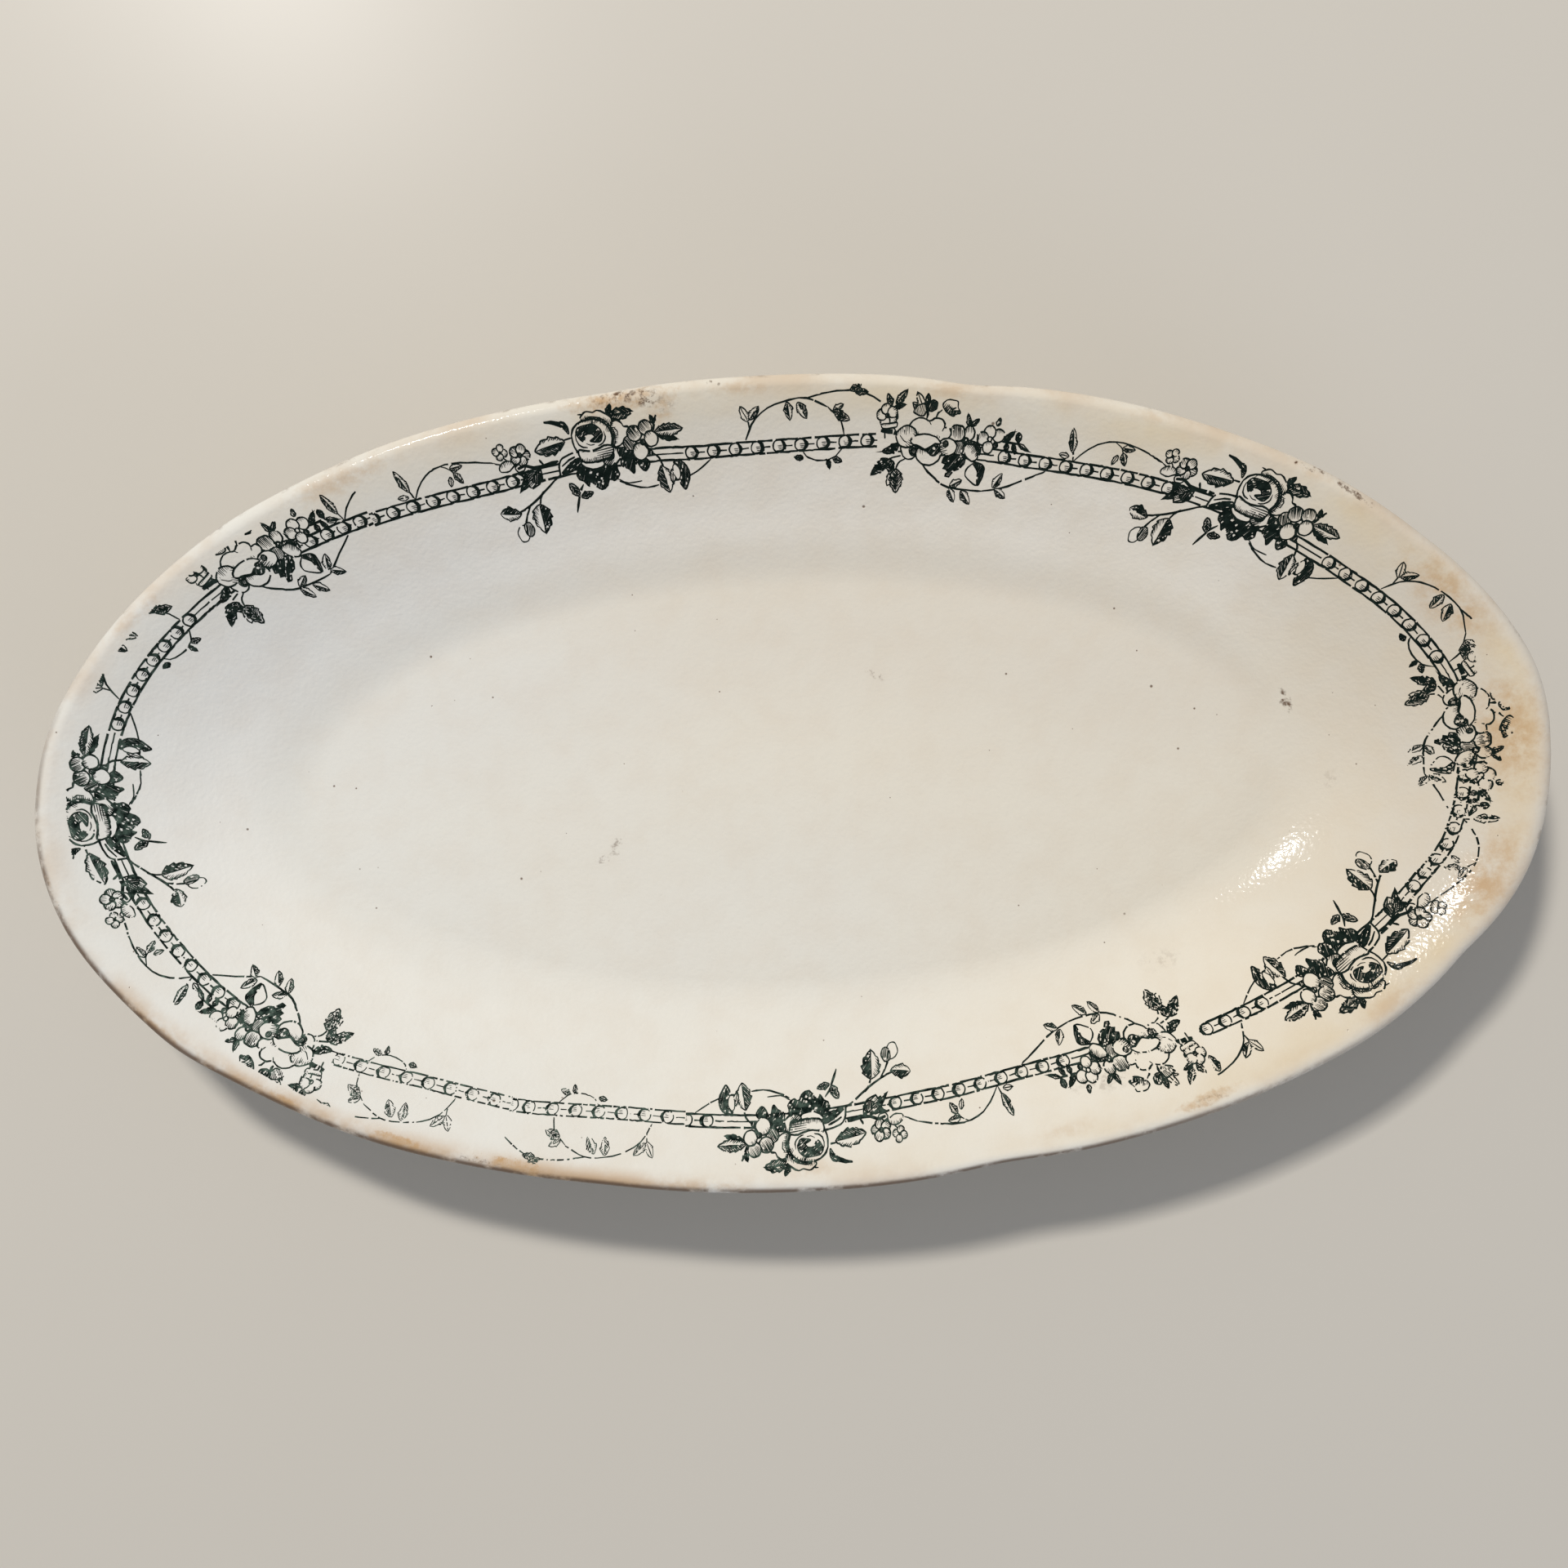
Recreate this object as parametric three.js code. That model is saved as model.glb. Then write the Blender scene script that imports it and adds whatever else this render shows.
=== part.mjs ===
// An oval china serving platter with a softly lobed rim: one earthenware body standing on a foot ring, and the
// strips of transfer print that were laid round its sloping side, end to end, before it was glazed.
// Millimetres, +Z up, +X along the platter, +Y across it towards the back. The origin is under the middle of
// the platter, in the plane its foot stands on.
import * as THREE from "three";

// Body
const length = 300; // rim to rim along X
const width = 162; // rim to rim along Y
const height = 32; // foot to the top of the rim
const lipRadius = 2; // the rim is a round bead, so this is half the wall's thickness there
const rimSlope = 24; // degrees, slope of the side where it leaves the rim
const sideReach = 40; // rim to the edge of the flat floor, measured across the platter
const endReach = 50; // the same, measured along it
const floorThickness = 5;

// Foot ring, moulded in one with the body
const footHeight = 3; // also the height of the underside above the table
const footInset = 34; // rim to the ring's outer face, measured across the platter
const footWidth = 4; // the flat that the platter stands on
const footDraft = 0.8; // how far each face of the ring leans in over its height

// Lobes of the rim: shallow dents between them, placed by their turn in degrees from +X
const dentTurns = [33, 74, 106, 147, 213, 254, 286, 327];
const dentDepth = 0.9;
const dentTurnWidth = 4.5; // degrees from the middle of a dent to half its depth
const dentFade = 16; // how far in from the rim a dent dies away

// Transfer print: strips of tissue-thin ink film, each from one joint to the next
const printOuterInset = 3.2; // rim to the film's outer edge, measured across the platter
const printInnerInset = 29; // rim to its inner edge
const printThickness = 0.2;
const printClearance = 0.15; // film to body
const printGap = 0.15; // degrees, half the gap at a joint
const printStrips = [
  { name: "print_strip_right", start: -53.4, end: 81.2 },
  { name: "print_strip_back", start: 81.2, end: 127.6 },
  { name: "print_strip_left", start: 127.6, end: 225.3 },
  { name: "print_filler_front_left", start: 225.3, end: 243.7 },
  { name: "print_filler_front", start: 243.7, end: 259.4 },
  { name: "print_strip_front", start: 259.4, end: 306.6 },
];

// Fineness of the solids
const turnSteps = 120;
const sideSteps = 13;
const lipSteps = 6;
const printRows = 9;

const china = new THREE.MeshStandardMaterial({ color: "#dcd5c6", roughness: 0.22, metalness: 0 });
const ink = new THREE.MeshStandardMaterial({ color: "#1d2a26", roughness: 0.3, metalness: 0 });

const radians = THREE.MathUtils.degToRad;
const floorHeight = footHeight + floorThickness;
const lipSlope = radians(rimSlope);

// The bead's round section, by the angle from the way the rim faces outwards.
function lipPoint(angle) {
  const inset = lipRadius * (1 - Math.cos(angle));
  return new THREE.Vector2(inset, height - lipRadius + lipRadius * Math.sin(angle));
}

const sideTop = lipPoint(Math.PI / 2 + lipSlope);

// Height and slope of the upper surface. It leaves the bead at the rim's slope, steepens, and runs out level
// on the floor: a cubic in the share of the way up from the floor's edge.
function sideHeight(inset) {
  const run = sideReach - sideTop.x;
  const rise = sideTop.y - floorHeight;
  const up = THREE.MathUtils.clamp(1 - (inset - sideTop.x) / run, 0, 1);
  const lean = (Math.tan(lipSlope) * run) / rise;
  const share = (3 - lean) * up ** 2 + (lean - 2) * up ** 3;
  const slope = ((2 * (3 - lean) * up + 3 * (lean - 2) * up ** 2) * rise) / run;
  return { height: floorHeight + rise * share, slope, up };
}

// The underside of the wall, square to the upper surface and thickening from the bead to the floor.
function underPoint(inset) {
  const side = sideHeight(inset);
  const angle = Math.atan(side.slope);
  const thickness = THREE.MathUtils.lerp(floorThickness, 2 * lipRadius, side.up);
  return new THREE.Vector2(inset - thickness * Math.sin(angle), side.height - thickness * Math.cos(angle));
}

// Where a point lies in plan, from its turn and its distance in from the rim. The plan is an oval at every
// distance, and the dents push its outer part inwards.
function planPoint(turn, inset) {
  const across = width / 2 - inset;
  const floorAcross = width / 2 - sideReach;
  const floorAlong = length / 2 - endReach;
  const along =
    inset < sideReach ? length / 2 - (inset * endReach) / sideReach : (floorAlong * across) / floorAcross;
  const degrees = THREE.MathUtils.radToDeg(turn);
  const dent = dentTurns
    .map((place) => THREE.MathUtils.euclideanModulo(degrees - place + 180, 360) - 180)
    .reduce((sum, away) => sum + 1 / (1 + (away / dentTurnWidth) ** 2), 0);
  const fade = Math.max(0, 1 - inset / dentFade) ** 2;
  const facing = new THREE.Vector2((Math.cos(turn) * width) / 2, (Math.sin(turn) * length) / 2).normalize();
  return new THREE.Vector2(along * Math.cos(turn), across * Math.sin(turn)).addScaledVector(
    facing,
    -dentDepth * dent * fade,
  );
}

// Evenly spaced numbers from first to last.
function spread(first, last, steps) {
  return Array.from({ length: steps + 1 }, (_, i) => first + ((last - first) * i) / steps);
}

// The body's section from the middle of the underside, round the foot and the rim, to the middle of the well.
// Each point's x is its distance in from the rim.
function bodySection() {
  const middle = width / 2;
  const footInner = footInset + footWidth + 2 * footDraft;
  const wallInsets = spread(sideReach, sideTop.x, sideSteps);
  const foot = [
    new THREE.Vector2(middle, footHeight),
    new THREE.Vector2(footInner, footHeight),
    new THREE.Vector2(footInner - footDraft, 0),
    new THREE.Vector2(footInset + footDraft, 0),
    new THREE.Vector2(footInset, underHeight(footInset)),
  ];
  const under = wallInsets.map(underPoint).filter((point) => point.x < footInset - footDraft);
  const lip = spread(lipSlope - Math.PI / 2, Math.PI / 2, lipSteps).map(lipPoint).slice(1);
  const side = wallInsets.reverse().map((inset) => new THREE.Vector2(inset, sideHeight(inset).height));
  return [...foot, ...under, ...lip, ...side, new THREE.Vector2(middle, floorHeight)];
}

// Height of the wall's underside at a distance in from the rim, between the two wall points beside it.
function underHeight(inset) {
  const points = spread(sideReach, sideTop.x, sideSteps).map(underPoint);
  const after = points.findIndex((point) => point.x < inset);
  const [near, far] = [points[after], points[after - 1]];
  return THREE.MathUtils.mapLinear(inset, near.x, far.x, near.y, far.y);
}

// The section is turned about the upright axis as a round dish, and each point is then moved to its place on
// the oval. The last column of a turned section repeats the first.
function makeBody() {
  const section = bodySection();
  const round = section.map((point) => new THREE.Vector2(width / 2 - point.x, point.y));
  const geometry = new THREE.LatheGeometry(round, turnSteps);
  const places = geometry.getAttribute("position");
  for (let i = 0; i < places.count; i++) {
    const column = Math.floor(i / section.length) % turnSteps;
    const point = section[i % section.length];
    const plan = planPoint((column / turnSteps) * 2 * Math.PI, point.x);
    places.setXYZ(i, plan.x, plan.y, point.y);
  }
  geometry.computeVertexNormals();
  return geometry;
}

// A strip is a flat film bent onto the side: its length follows the turn, its width runs in from the rim.
function makePrintStrip({ start, end }) {
  const from = radians(start + printGap);
  const to = radians(end - printGap);
  const steps = Math.round(((to - from) / (2 * Math.PI)) * turnSteps);
  const geometry = new THREE.BoxGeometry(1, 1, 1, steps, printRows, 1);
  const places = geometry.getAttribute("position");
  for (let i = 0; i < places.count; i++) {
    const turn = THREE.MathUtils.lerp(from, to, places.getX(i) + 0.5);
    const inset = THREE.MathUtils.lerp(printInnerInset, printOuterInset, 0.5 - places.getY(i));
    const lift = printClearance + printThickness * (places.getZ(i) + 0.5);
    const plan = planPoint(turn, inset);
    places.setXYZ(i, plan.x, plan.y, sideHeight(inset).height + lift);
  }
  geometry.computeVertexNormals();
  return geometry;
}

function piece(name, geometry, material) {
  const mesh = new THREE.Mesh(geometry, material.clone());
  mesh.name = name;
  return mesh;
}

const platter = new THREE.Group();
platter.add(piece("platter_body", makeBody(), china));
for (const strip of printStrips) {
  platter.add(piece(strip.name, makePrintStrip(strip), ink));
}

export default platter;
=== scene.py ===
"""China serving platter: a long oval dish with a softly lobed rim and a transfer-printed flower border.

Metres, +Z up, +X along the dish, +Y across it towards the back. The origin is under the middle of the dish,
in the plane its foot stands on. Every size and colour that a user would change is in the panel's properties.
"""

import functools
import math
import random

import bmesh
import bpy
import numpy as np
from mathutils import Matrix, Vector


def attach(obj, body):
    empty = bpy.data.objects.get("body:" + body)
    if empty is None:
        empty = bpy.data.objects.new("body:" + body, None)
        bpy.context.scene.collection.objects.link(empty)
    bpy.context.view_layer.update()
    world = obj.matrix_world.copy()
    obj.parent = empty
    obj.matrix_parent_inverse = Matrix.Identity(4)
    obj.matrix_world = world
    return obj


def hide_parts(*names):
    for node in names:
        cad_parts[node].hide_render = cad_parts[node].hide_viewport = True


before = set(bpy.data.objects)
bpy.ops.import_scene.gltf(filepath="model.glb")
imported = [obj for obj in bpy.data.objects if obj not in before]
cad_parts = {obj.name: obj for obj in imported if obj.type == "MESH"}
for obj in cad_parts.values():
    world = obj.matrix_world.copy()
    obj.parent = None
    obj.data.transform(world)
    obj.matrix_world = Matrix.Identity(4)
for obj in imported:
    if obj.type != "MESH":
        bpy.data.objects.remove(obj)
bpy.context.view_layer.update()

bl_info = {
    "name": "China serving platter",
    "version": (1, 0, 0),
    "blender": (4, 5, 0),
    "location": "View3D > Sidebar > Platter",
    "description": "Builds an old oval platter with a printed flower border",
    "category": "Add Mesh",
}

MM = 0.001

# The hand-pressed rim: dents between its lobes, and bulges (below zero). Each has its place in degrees from
# +X, its depth in millimetres, and the degrees from its middle to half its depth.
DENTS = (
    (12, -1.25, 11), (33, 0.3, 4.5), (45, -0.6, 9), (62, -0.45, 8), (75, 1.2, 3.5), (90, 0.2, 7),
    (103, 0.4, 4), (121, -0.95, 11), (136, -0.65, 7), (159, 0.75, 12), (176, 0.35, 5), (197, -0.8, 11),
    (215, -1.1, 6), (235, -0.85, 9), (254, 0.35, 4), (285, 1.5, 5), (304, -0.3, 6), (318, -1.1, 9),
    (331, 0.65, 3.5), (342, -0.8, 9), (358, 0.6, 9),
)
RIM_SLACK = 0.15  # millimetres that the whole rim keeps inside its nominal oval

# Fineness of the body
BODY_COLUMNS = 480
WALL_STEPS = 44
LIP_STEPS = 20
FLAT_STEPS = 12  # across the floor, above and below
ROUNDING_STEPS = 5
WELD_DISTANCE = 1e-7

# Metres. The foot's corners are rounded, from the recess inside the ring to the foot of the wall.
FOOT_ROUNDING = (0.0012, 0.0007, 0.0007, 0.0016)
WALL_START = 0.003  # how far outside the foot ring the wall's underside starts

# Fineness of the print
BEND = 0.22  # radians that a ribbon may turn between two of its points
LONGEST = 1.4  # millimetres between two points of a ribbon

# Glaze, and ink under it
GLAZE_IOR = 1.5
GLOSS = 0.1
PEEL = 2.6
WAVES = 1.0
BUMP_DEPTH = 0.000026
INK_ROUGHNESS = 0.16
INK_SHINE = 0.12

# Stage. Each light: its direction, distance, size, power, colour, and whether the glaze mirrors it
TABLE_HALF = 1.5
TABLE_SHADE = 0.965  # how dark the darker parts of the table are
ROOM_COLOUR = (250, 252, 255)
ROOM_LIGHT = 0.36
LIGHTS = (
    ("window_light", (-0.24, 0.54, 0.81), 1.7, (0.18, 0.15), 19.0, (255, 250, 242), False),
    ("window_pane", (-0.29, 0.53, 0.79), 1.7, (0.12, 0.085), 3.6, (255, 253, 250), True),
    ("low_fill", (0.5, -0.8, 0.38), 1.6, (0.9, 0.5), 5.0, (214, 228, 255), False),
)
CAMERA_LENS = 38.54
CAMERA_PLACE = (-0.0016226, -0.0001402, 0.362)
CAMERA_TURN = (0.0, 0.0, -2.4726)


# ---------------------------------------------------------------------------------------------------------
# Sizes and colours


def distance(name, default, description):
    return bpy.props.FloatProperty(
        name=name, description=description, default=default, subtype="DISTANCE", unit="LENGTH"
    )


def colour(name, default, description):
    """A colour given as the eye reads it, 0 to 255."""
    return bpy.props.FloatVectorProperty(
        name=name, description=description, default=linear(default), size=3, subtype="COLOR", min=0, max=1
    )


def linear(shade):
    """The amounts of light in a colour given as the eye reads it."""
    shares = [value / 255 for value in shade]
    return [share / 12.92 if share <= 0.04045 else ((share + 0.055) / 1.055) ** 2.4 for share in shares]


class PlatterSizes(bpy.types.PropertyGroup):
    length: distance("Length", 0.300, "Rim to rim along the dish")
    width: distance("Width", 0.162, "Rim to rim across the dish")
    height: distance("Height", 0.032, "Foot to the top of the rim")
    lip_radius: distance("Lip radius", 0.002, "Half the thickness of the rounded rim")
    rim_slope: bpy.props.FloatProperty(
        name="Rim slope",
        description="Slope of the side where it leaves the rim",
        default=math.radians(24),
        subtype="ANGLE",
    )
    side_reach: distance("Side reach", 0.040, "Rim to the edge of the floor, measured across")
    end_reach: distance("End reach", 0.050, "Rim to the edge of the floor, measured along")
    floor_thickness: distance("Floor thickness", 0.005, "Thickness of the floor of the well")
    foot_height: distance("Foot height", 0.003, "Height of the foot ring")
    foot_inset: distance("Foot inset", 0.034, "Rim to the outer face of the foot ring, measured across")
    foot_width: distance("Foot width", 0.004, "Width of the flat that the dish stands on")
    foot_draft: distance("Foot draft", 0.0008, "How far each face of the foot ring leans in")
    dent_fade: distance("Dent fade", 0.016, "How far in from the rim a dent dies away")
    print_lift: distance("Print lift", 0.00004, "Height of the ink above the glaze")


class PlatterColours(bpy.types.PropertyGroup):
    china: colour("China", (221, 215, 202), "Cream clay seen through the clear glaze")
    # painted light: a bluish tint at the left that stands for cool light falling on that side
    painted_cool_light_china: colour("Cool china", (221, 225, 226), "Bluer glaze, where it lies thick")
    # painted light: whiter china that brightens the side towards the back, where the lamps leave it darker
    painted_light_china: colour("Wall china", (246, 240, 229), "Whiter china, on the side towards the back")
    # painted shade where the side runs out into the well, also used to darken the right end
    painted_shade_and_darker_china: colour("Dull china", (204, 197, 186), "Duller china, where the side runs out into the well")
    tan_stain: colour("Tan stain", (188, 152, 108), "Old food and tea stain in the glaze")
    cream_stain: colour("Cream stain", (217, 199, 165), "The broad yellowing of the rim")
    # also painted shade: the brown line on the outer lip at the front
    brown_stain_and_shade: colour("Brown stain", (92, 66, 44), "Dirt in chips, pinholes and the worn rim")
    bare_clay: colour("Bare clay", (176, 160, 136), "Unglazed clay of the worn foot")
    ink: colour("Ink", (7, 20, 16), "Green-black printing ink")
    faded_ink: colour("Faded ink", (96, 116, 105), "Ink where it took poorly")
    table: colour("Table", (203, 198, 189), "The plain table top")


# ---------------------------------------------------------------------------------------------------------
# Shape of the dish


def lip_point(size, angle):
    """The lip's round section, by the angle from the way the rim faces outwards."""
    inset = size.lip_radius * (1 - math.cos(angle))
    return inset, size.height - size.lip_radius + size.lip_radius * math.sin(angle)


def floor_height(size):
    return size.foot_height + size.floor_thickness


def side_height(size, inset):
    """Height, slope and share of the way up of the upper surface, at distances in from the rim."""
    inset = np.asarray(inset, float)
    top_inset, top_height = lip_point(size, math.pi / 2 + size.rim_slope)
    run = size.side_reach - top_inset
    rise = top_height - floor_height(size)
    up = np.clip(1 - (inset - top_inset) / run, 0, 1)
    lean = math.tan(size.rim_slope) * run / rise
    height = floor_height(size) + rise * ((3 - lean) * up**2 + (lean - 2) * up**3)
    slope = (2 * (3 - lean) * up + 3 * (lean - 2) * up**2) * rise / run
    on_lip = inset < top_inset
    sideways = np.clip(size.lip_radius - inset, -size.lip_radius, size.lip_radius)
    lip = size.height - size.lip_radius + np.sqrt(size.lip_radius**2 - sideways**2)
    return np.where(on_lip, lip, height), slope, up


def under_points(size, insets):
    """The underside of the wall, square to the upper surface and thickening from the lip to the floor."""
    height, slope, up = side_height(size, insets)
    angle = np.arctan(slope)
    thickness = size.floor_thickness + (2 * size.lip_radius - size.floor_thickness) * up
    return np.stack([insets - thickness * np.sin(angle), height - thickness * np.cos(angle)], 1)


def plan_point(size, turn, inset):
    """Where a point lies in plan, from its turn in radians and its distance in from the rim."""
    across = size.width / 2 - inset
    outer = size.length / 2 - inset * size.end_reach / size.side_reach
    inner = (size.length / 2 - size.end_reach) * across / (size.width / 2 - size.side_reach)
    along = np.where(inset < size.side_reach, outer, inner)
    facing = np.stack([np.cos(turn) * size.width, np.sin(turn) * size.length], -1)
    facing /= np.linalg.norm(facing, axis=-1, keepdims=True)
    fade = np.clip(1 - inset / size.dent_fade, 0, 1) ** 2
    push = dent_depth(turn) * fade
    plan = np.stack([along * np.cos(turn), across * np.sin(turn)], -1) - facing * push[..., None]
    limit = np.array([size.length, size.width]) / 2 - RIM_SLACK * MM
    return np.clip(plan, -limit, limit)


def dent_depth(turn):
    """How far the dents push the rim in, less what the bulges push it out."""
    degrees = np.degrees(turn)
    total = RIM_SLACK
    for place, depth, spread in DENTS:
        away = ((degrees - place + 180) % 360 - 180) / spread
        total = total + depth / (1 + away**2)
    return total * MM


def rounded(before, corner, after, radius):
    """A corner of a section, rounded off."""
    before, corner, after = (np.asarray(p, float) for p in (before, corner, after))
    back = (before - corner) / np.linalg.norm(before - corner)
    ahead = (after - corner) / np.linalg.norm(after - corner)
    half = math.acos(float(np.clip(back @ ahead, -1, 1))) / 2
    reach = radius / math.tan(half)
    start, end = corner + back * reach, corner + ahead * reach
    share = np.linspace(0, 1, ROUNDING_STEPS + 1)[:, None]
    return list(start * (1 - share) ** 2 + corner * 2 * share * (1 - share) + end * share**2)


def body_section(size):
    """The section from the middle of the underside, round the foot and the rim, to the middle of the well."""
    middle = size.width / 2
    top_inset = lip_point(size, math.pi / 2 + size.rim_slope)[0]
    walls = np.linspace(size.side_reach, top_inset, WALL_STEPS + 1)
    under = under_points(size, walls)
    join = np.interp(size.foot_inset, under[::-1, 0], under[::-1, 1])
    wall = under[under[:, 0] < size.foot_inset - WALL_START]
    foot_inner = size.foot_inset + size.foot_width + 2 * size.foot_draft
    corners = [
        (middle, size.foot_height),
        (foot_inner, size.foot_height),
        (foot_inner - size.foot_draft, 0),
        (size.foot_inset + size.foot_draft, 0),
        (size.foot_inset, join),
        tuple(wall[0]),
    ]
    recess = np.linspace(middle, foot_inner, FLAT_STEPS)[:-1]
    section = [np.array((inset, size.foot_height)) for inset in recess]
    for before, corner, after, radius in zip(corners, corners[1:], corners[2:], FOOT_ROUNDING):
        section += rounded(before, corner, after, radius)
    section += list(wall)
    for angle in np.linspace(size.rim_slope - math.pi / 2, math.pi / 2 + size.rim_slope, LIP_STEPS + 1)[1:-1]:
        section.append(np.array(lip_point(size, angle)))
    section += [np.array((inset, side_height(size, inset)[0])) for inset in walls[::-1]]
    floor = np.linspace(size.side_reach, middle, FLAT_STEPS)[1:]
    return section + [np.array((inset, floor_height(size))) for inset in floor]


def new_piece(name, mesh, material, node):
    """A finished mesh becomes a piece that stands for its node of the frame."""
    piece = bpy.data.objects.new(name, mesh)
    bpy.context.scene.collection.objects.link(piece)
    mesh.materials.append(material)
    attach(piece, "root")
    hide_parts(node)


def corner_points(mesh):
    places = np.zeros(len(mesh.vertices) * 3)
    mesh.vertices.foreach_get("co", places)
    return places.reshape(-1, 3)


def move_points(mesh, places):
    mesh.vertices.foreach_set("co", np.ascontiguousarray(places, np.float32).ravel())
    mesh.update()


def make_body(size, colours):
    """The section is spun as a round dish, and each point then moves to its place on the oval."""
    bm = bmesh.new()
    corners = [bm.verts.new((size.width / 2 - inset, 0, height)) for inset, height in body_section(size)]
    edges = [bm.edges.new(pair) for pair in zip(corners, corners[1:])]
    bmesh.ops.spin(
        bm, geom=corners + edges, cent=(0, 0, 0), axis=(0, 0, 1), dvec=(0, 0, 0), angle=2 * math.pi,
        steps=BODY_COLUMNS, use_merge=True, use_normal_flip=False, use_duplicate=False,
    )
    bmesh.ops.remove_doubles(bm, verts=bm.verts, dist=WELD_DISTANCE)
    bmesh.ops.recalc_face_normals(bm, faces=bm.faces)
    mesh = bpy.data.meshes.new("platter_body_glazed")
    bm.to_mesh(mesh)
    bm.free()
    places = corner_points(mesh)
    turn = np.arctan2(places[:, 1], places[:, 0]) % (2 * math.pi)
    inset = size.width / 2 - np.hypot(places[:, 0], places[:, 1])
    places[:, :2] = plan_point(size, turn, inset)
    move_points(mesh, places)
    rim_distance = mesh.attributes.new("rim_distance", "FLOAT", "POINT")
    rim_distance.data.foreach_set("value", np.ascontiguousarray(inset / MM, np.float32))
    mesh.shade_smooth()
    new_piece("platter_body_glazed", mesh, glaze_material(size, colours), "platter_body")


# ---------------------------------------------------------------------------------------------------------
# The engraving. It is drawn flat, in millimetres, as an engraver cuts a copper plate: every tone is lines.
# Along a sheet x runs clockwise round the dish. On the sheet of a spray the second number is the distance
# down from the sheet's top edge, and on a finished drawing y is the height above the middle of the band.

STEP = 0.12  # between the points of a stroke
TREMBLE = 4  # steps between one wobble of the hand and the next
HEAVY = 0.97  # how wide a stroke prints, as a share of its cut
POINTED = 0.5  # length over which a stroke thins to its end
NARROWEST = 0.15  # nothing narrower than this is hatched
SHORTEST = 0.12  # and no cut of a hatching is shorter than this
BLACK_GAP = 0.2
BLACK_CUT = 0.25
FLECK_MARGIN = 0.35  # the flecks of light keep this far inside a black shape
FLECKS = 0.7  # flecks in a square millimetre
FLECK = np.array([(1.5, 0.2), (0.4, 0.9), (-0.8, 0.7), (-1.3, -0.3), (-0.2, -0.9), (1.0, -0.6)])


def flow(points, closed=False):
    """A smooth line through the points, evenly sampled."""
    places = np.asarray(points, float)
    if closed:
        ring = np.vstack([places[-1], places, places[0], places[1]])
    else:
        ring = np.vstack([2 * places[0] - places[1], places, 2 * places[-1] - places[-2]])
    parts = []
    share = np.linspace(0, 1, 9)[:-1, None]
    for before, start, end, after in zip(ring[:-3], ring[1:-2], ring[2:-1], ring[3:]):
        bend = (2 * before - 5 * start + 4 * end - after) * share**2
        twist = (3 * start - before - 3 * end + after) * share**3
        parts.append(0.5 * (2 * start + (end - before) * share + bend + twist))
    parts.append(places[:1] if closed else places[-1:])
    return evenly(np.vstack(parts))


def evenly(line):
    """The same line with its points a step apart."""
    reach = np.r_[0, np.cumsum(np.hypot(*np.diff(line, axis=0).T))]
    count = max(2, int(round(reach[-1] / STEP)) + 1)
    at = np.linspace(0, reach[-1], count)
    return np.stack([np.interp(at, reach, line[:, 0]), np.interp(at, reach, line[:, 1])], 1)


def inside(points, outline):
    """Which points lie within a closed outline."""
    x, y = points[:, 0, None], points[:, 1, None]
    x0, y0 = outline[:, 0], outline[:, 1]
    x1, y1 = np.roll(x0, -1), np.roll(y0, -1)
    rise = np.where(y1 == y0, 1e-9, y1 - y0)
    crossed = ((y0 > y) != (y1 > y)) & (x < (x1 - x0) * (y - y0) / rise + x0)
    return crossed.sum(1) % 2 == 1


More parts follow.
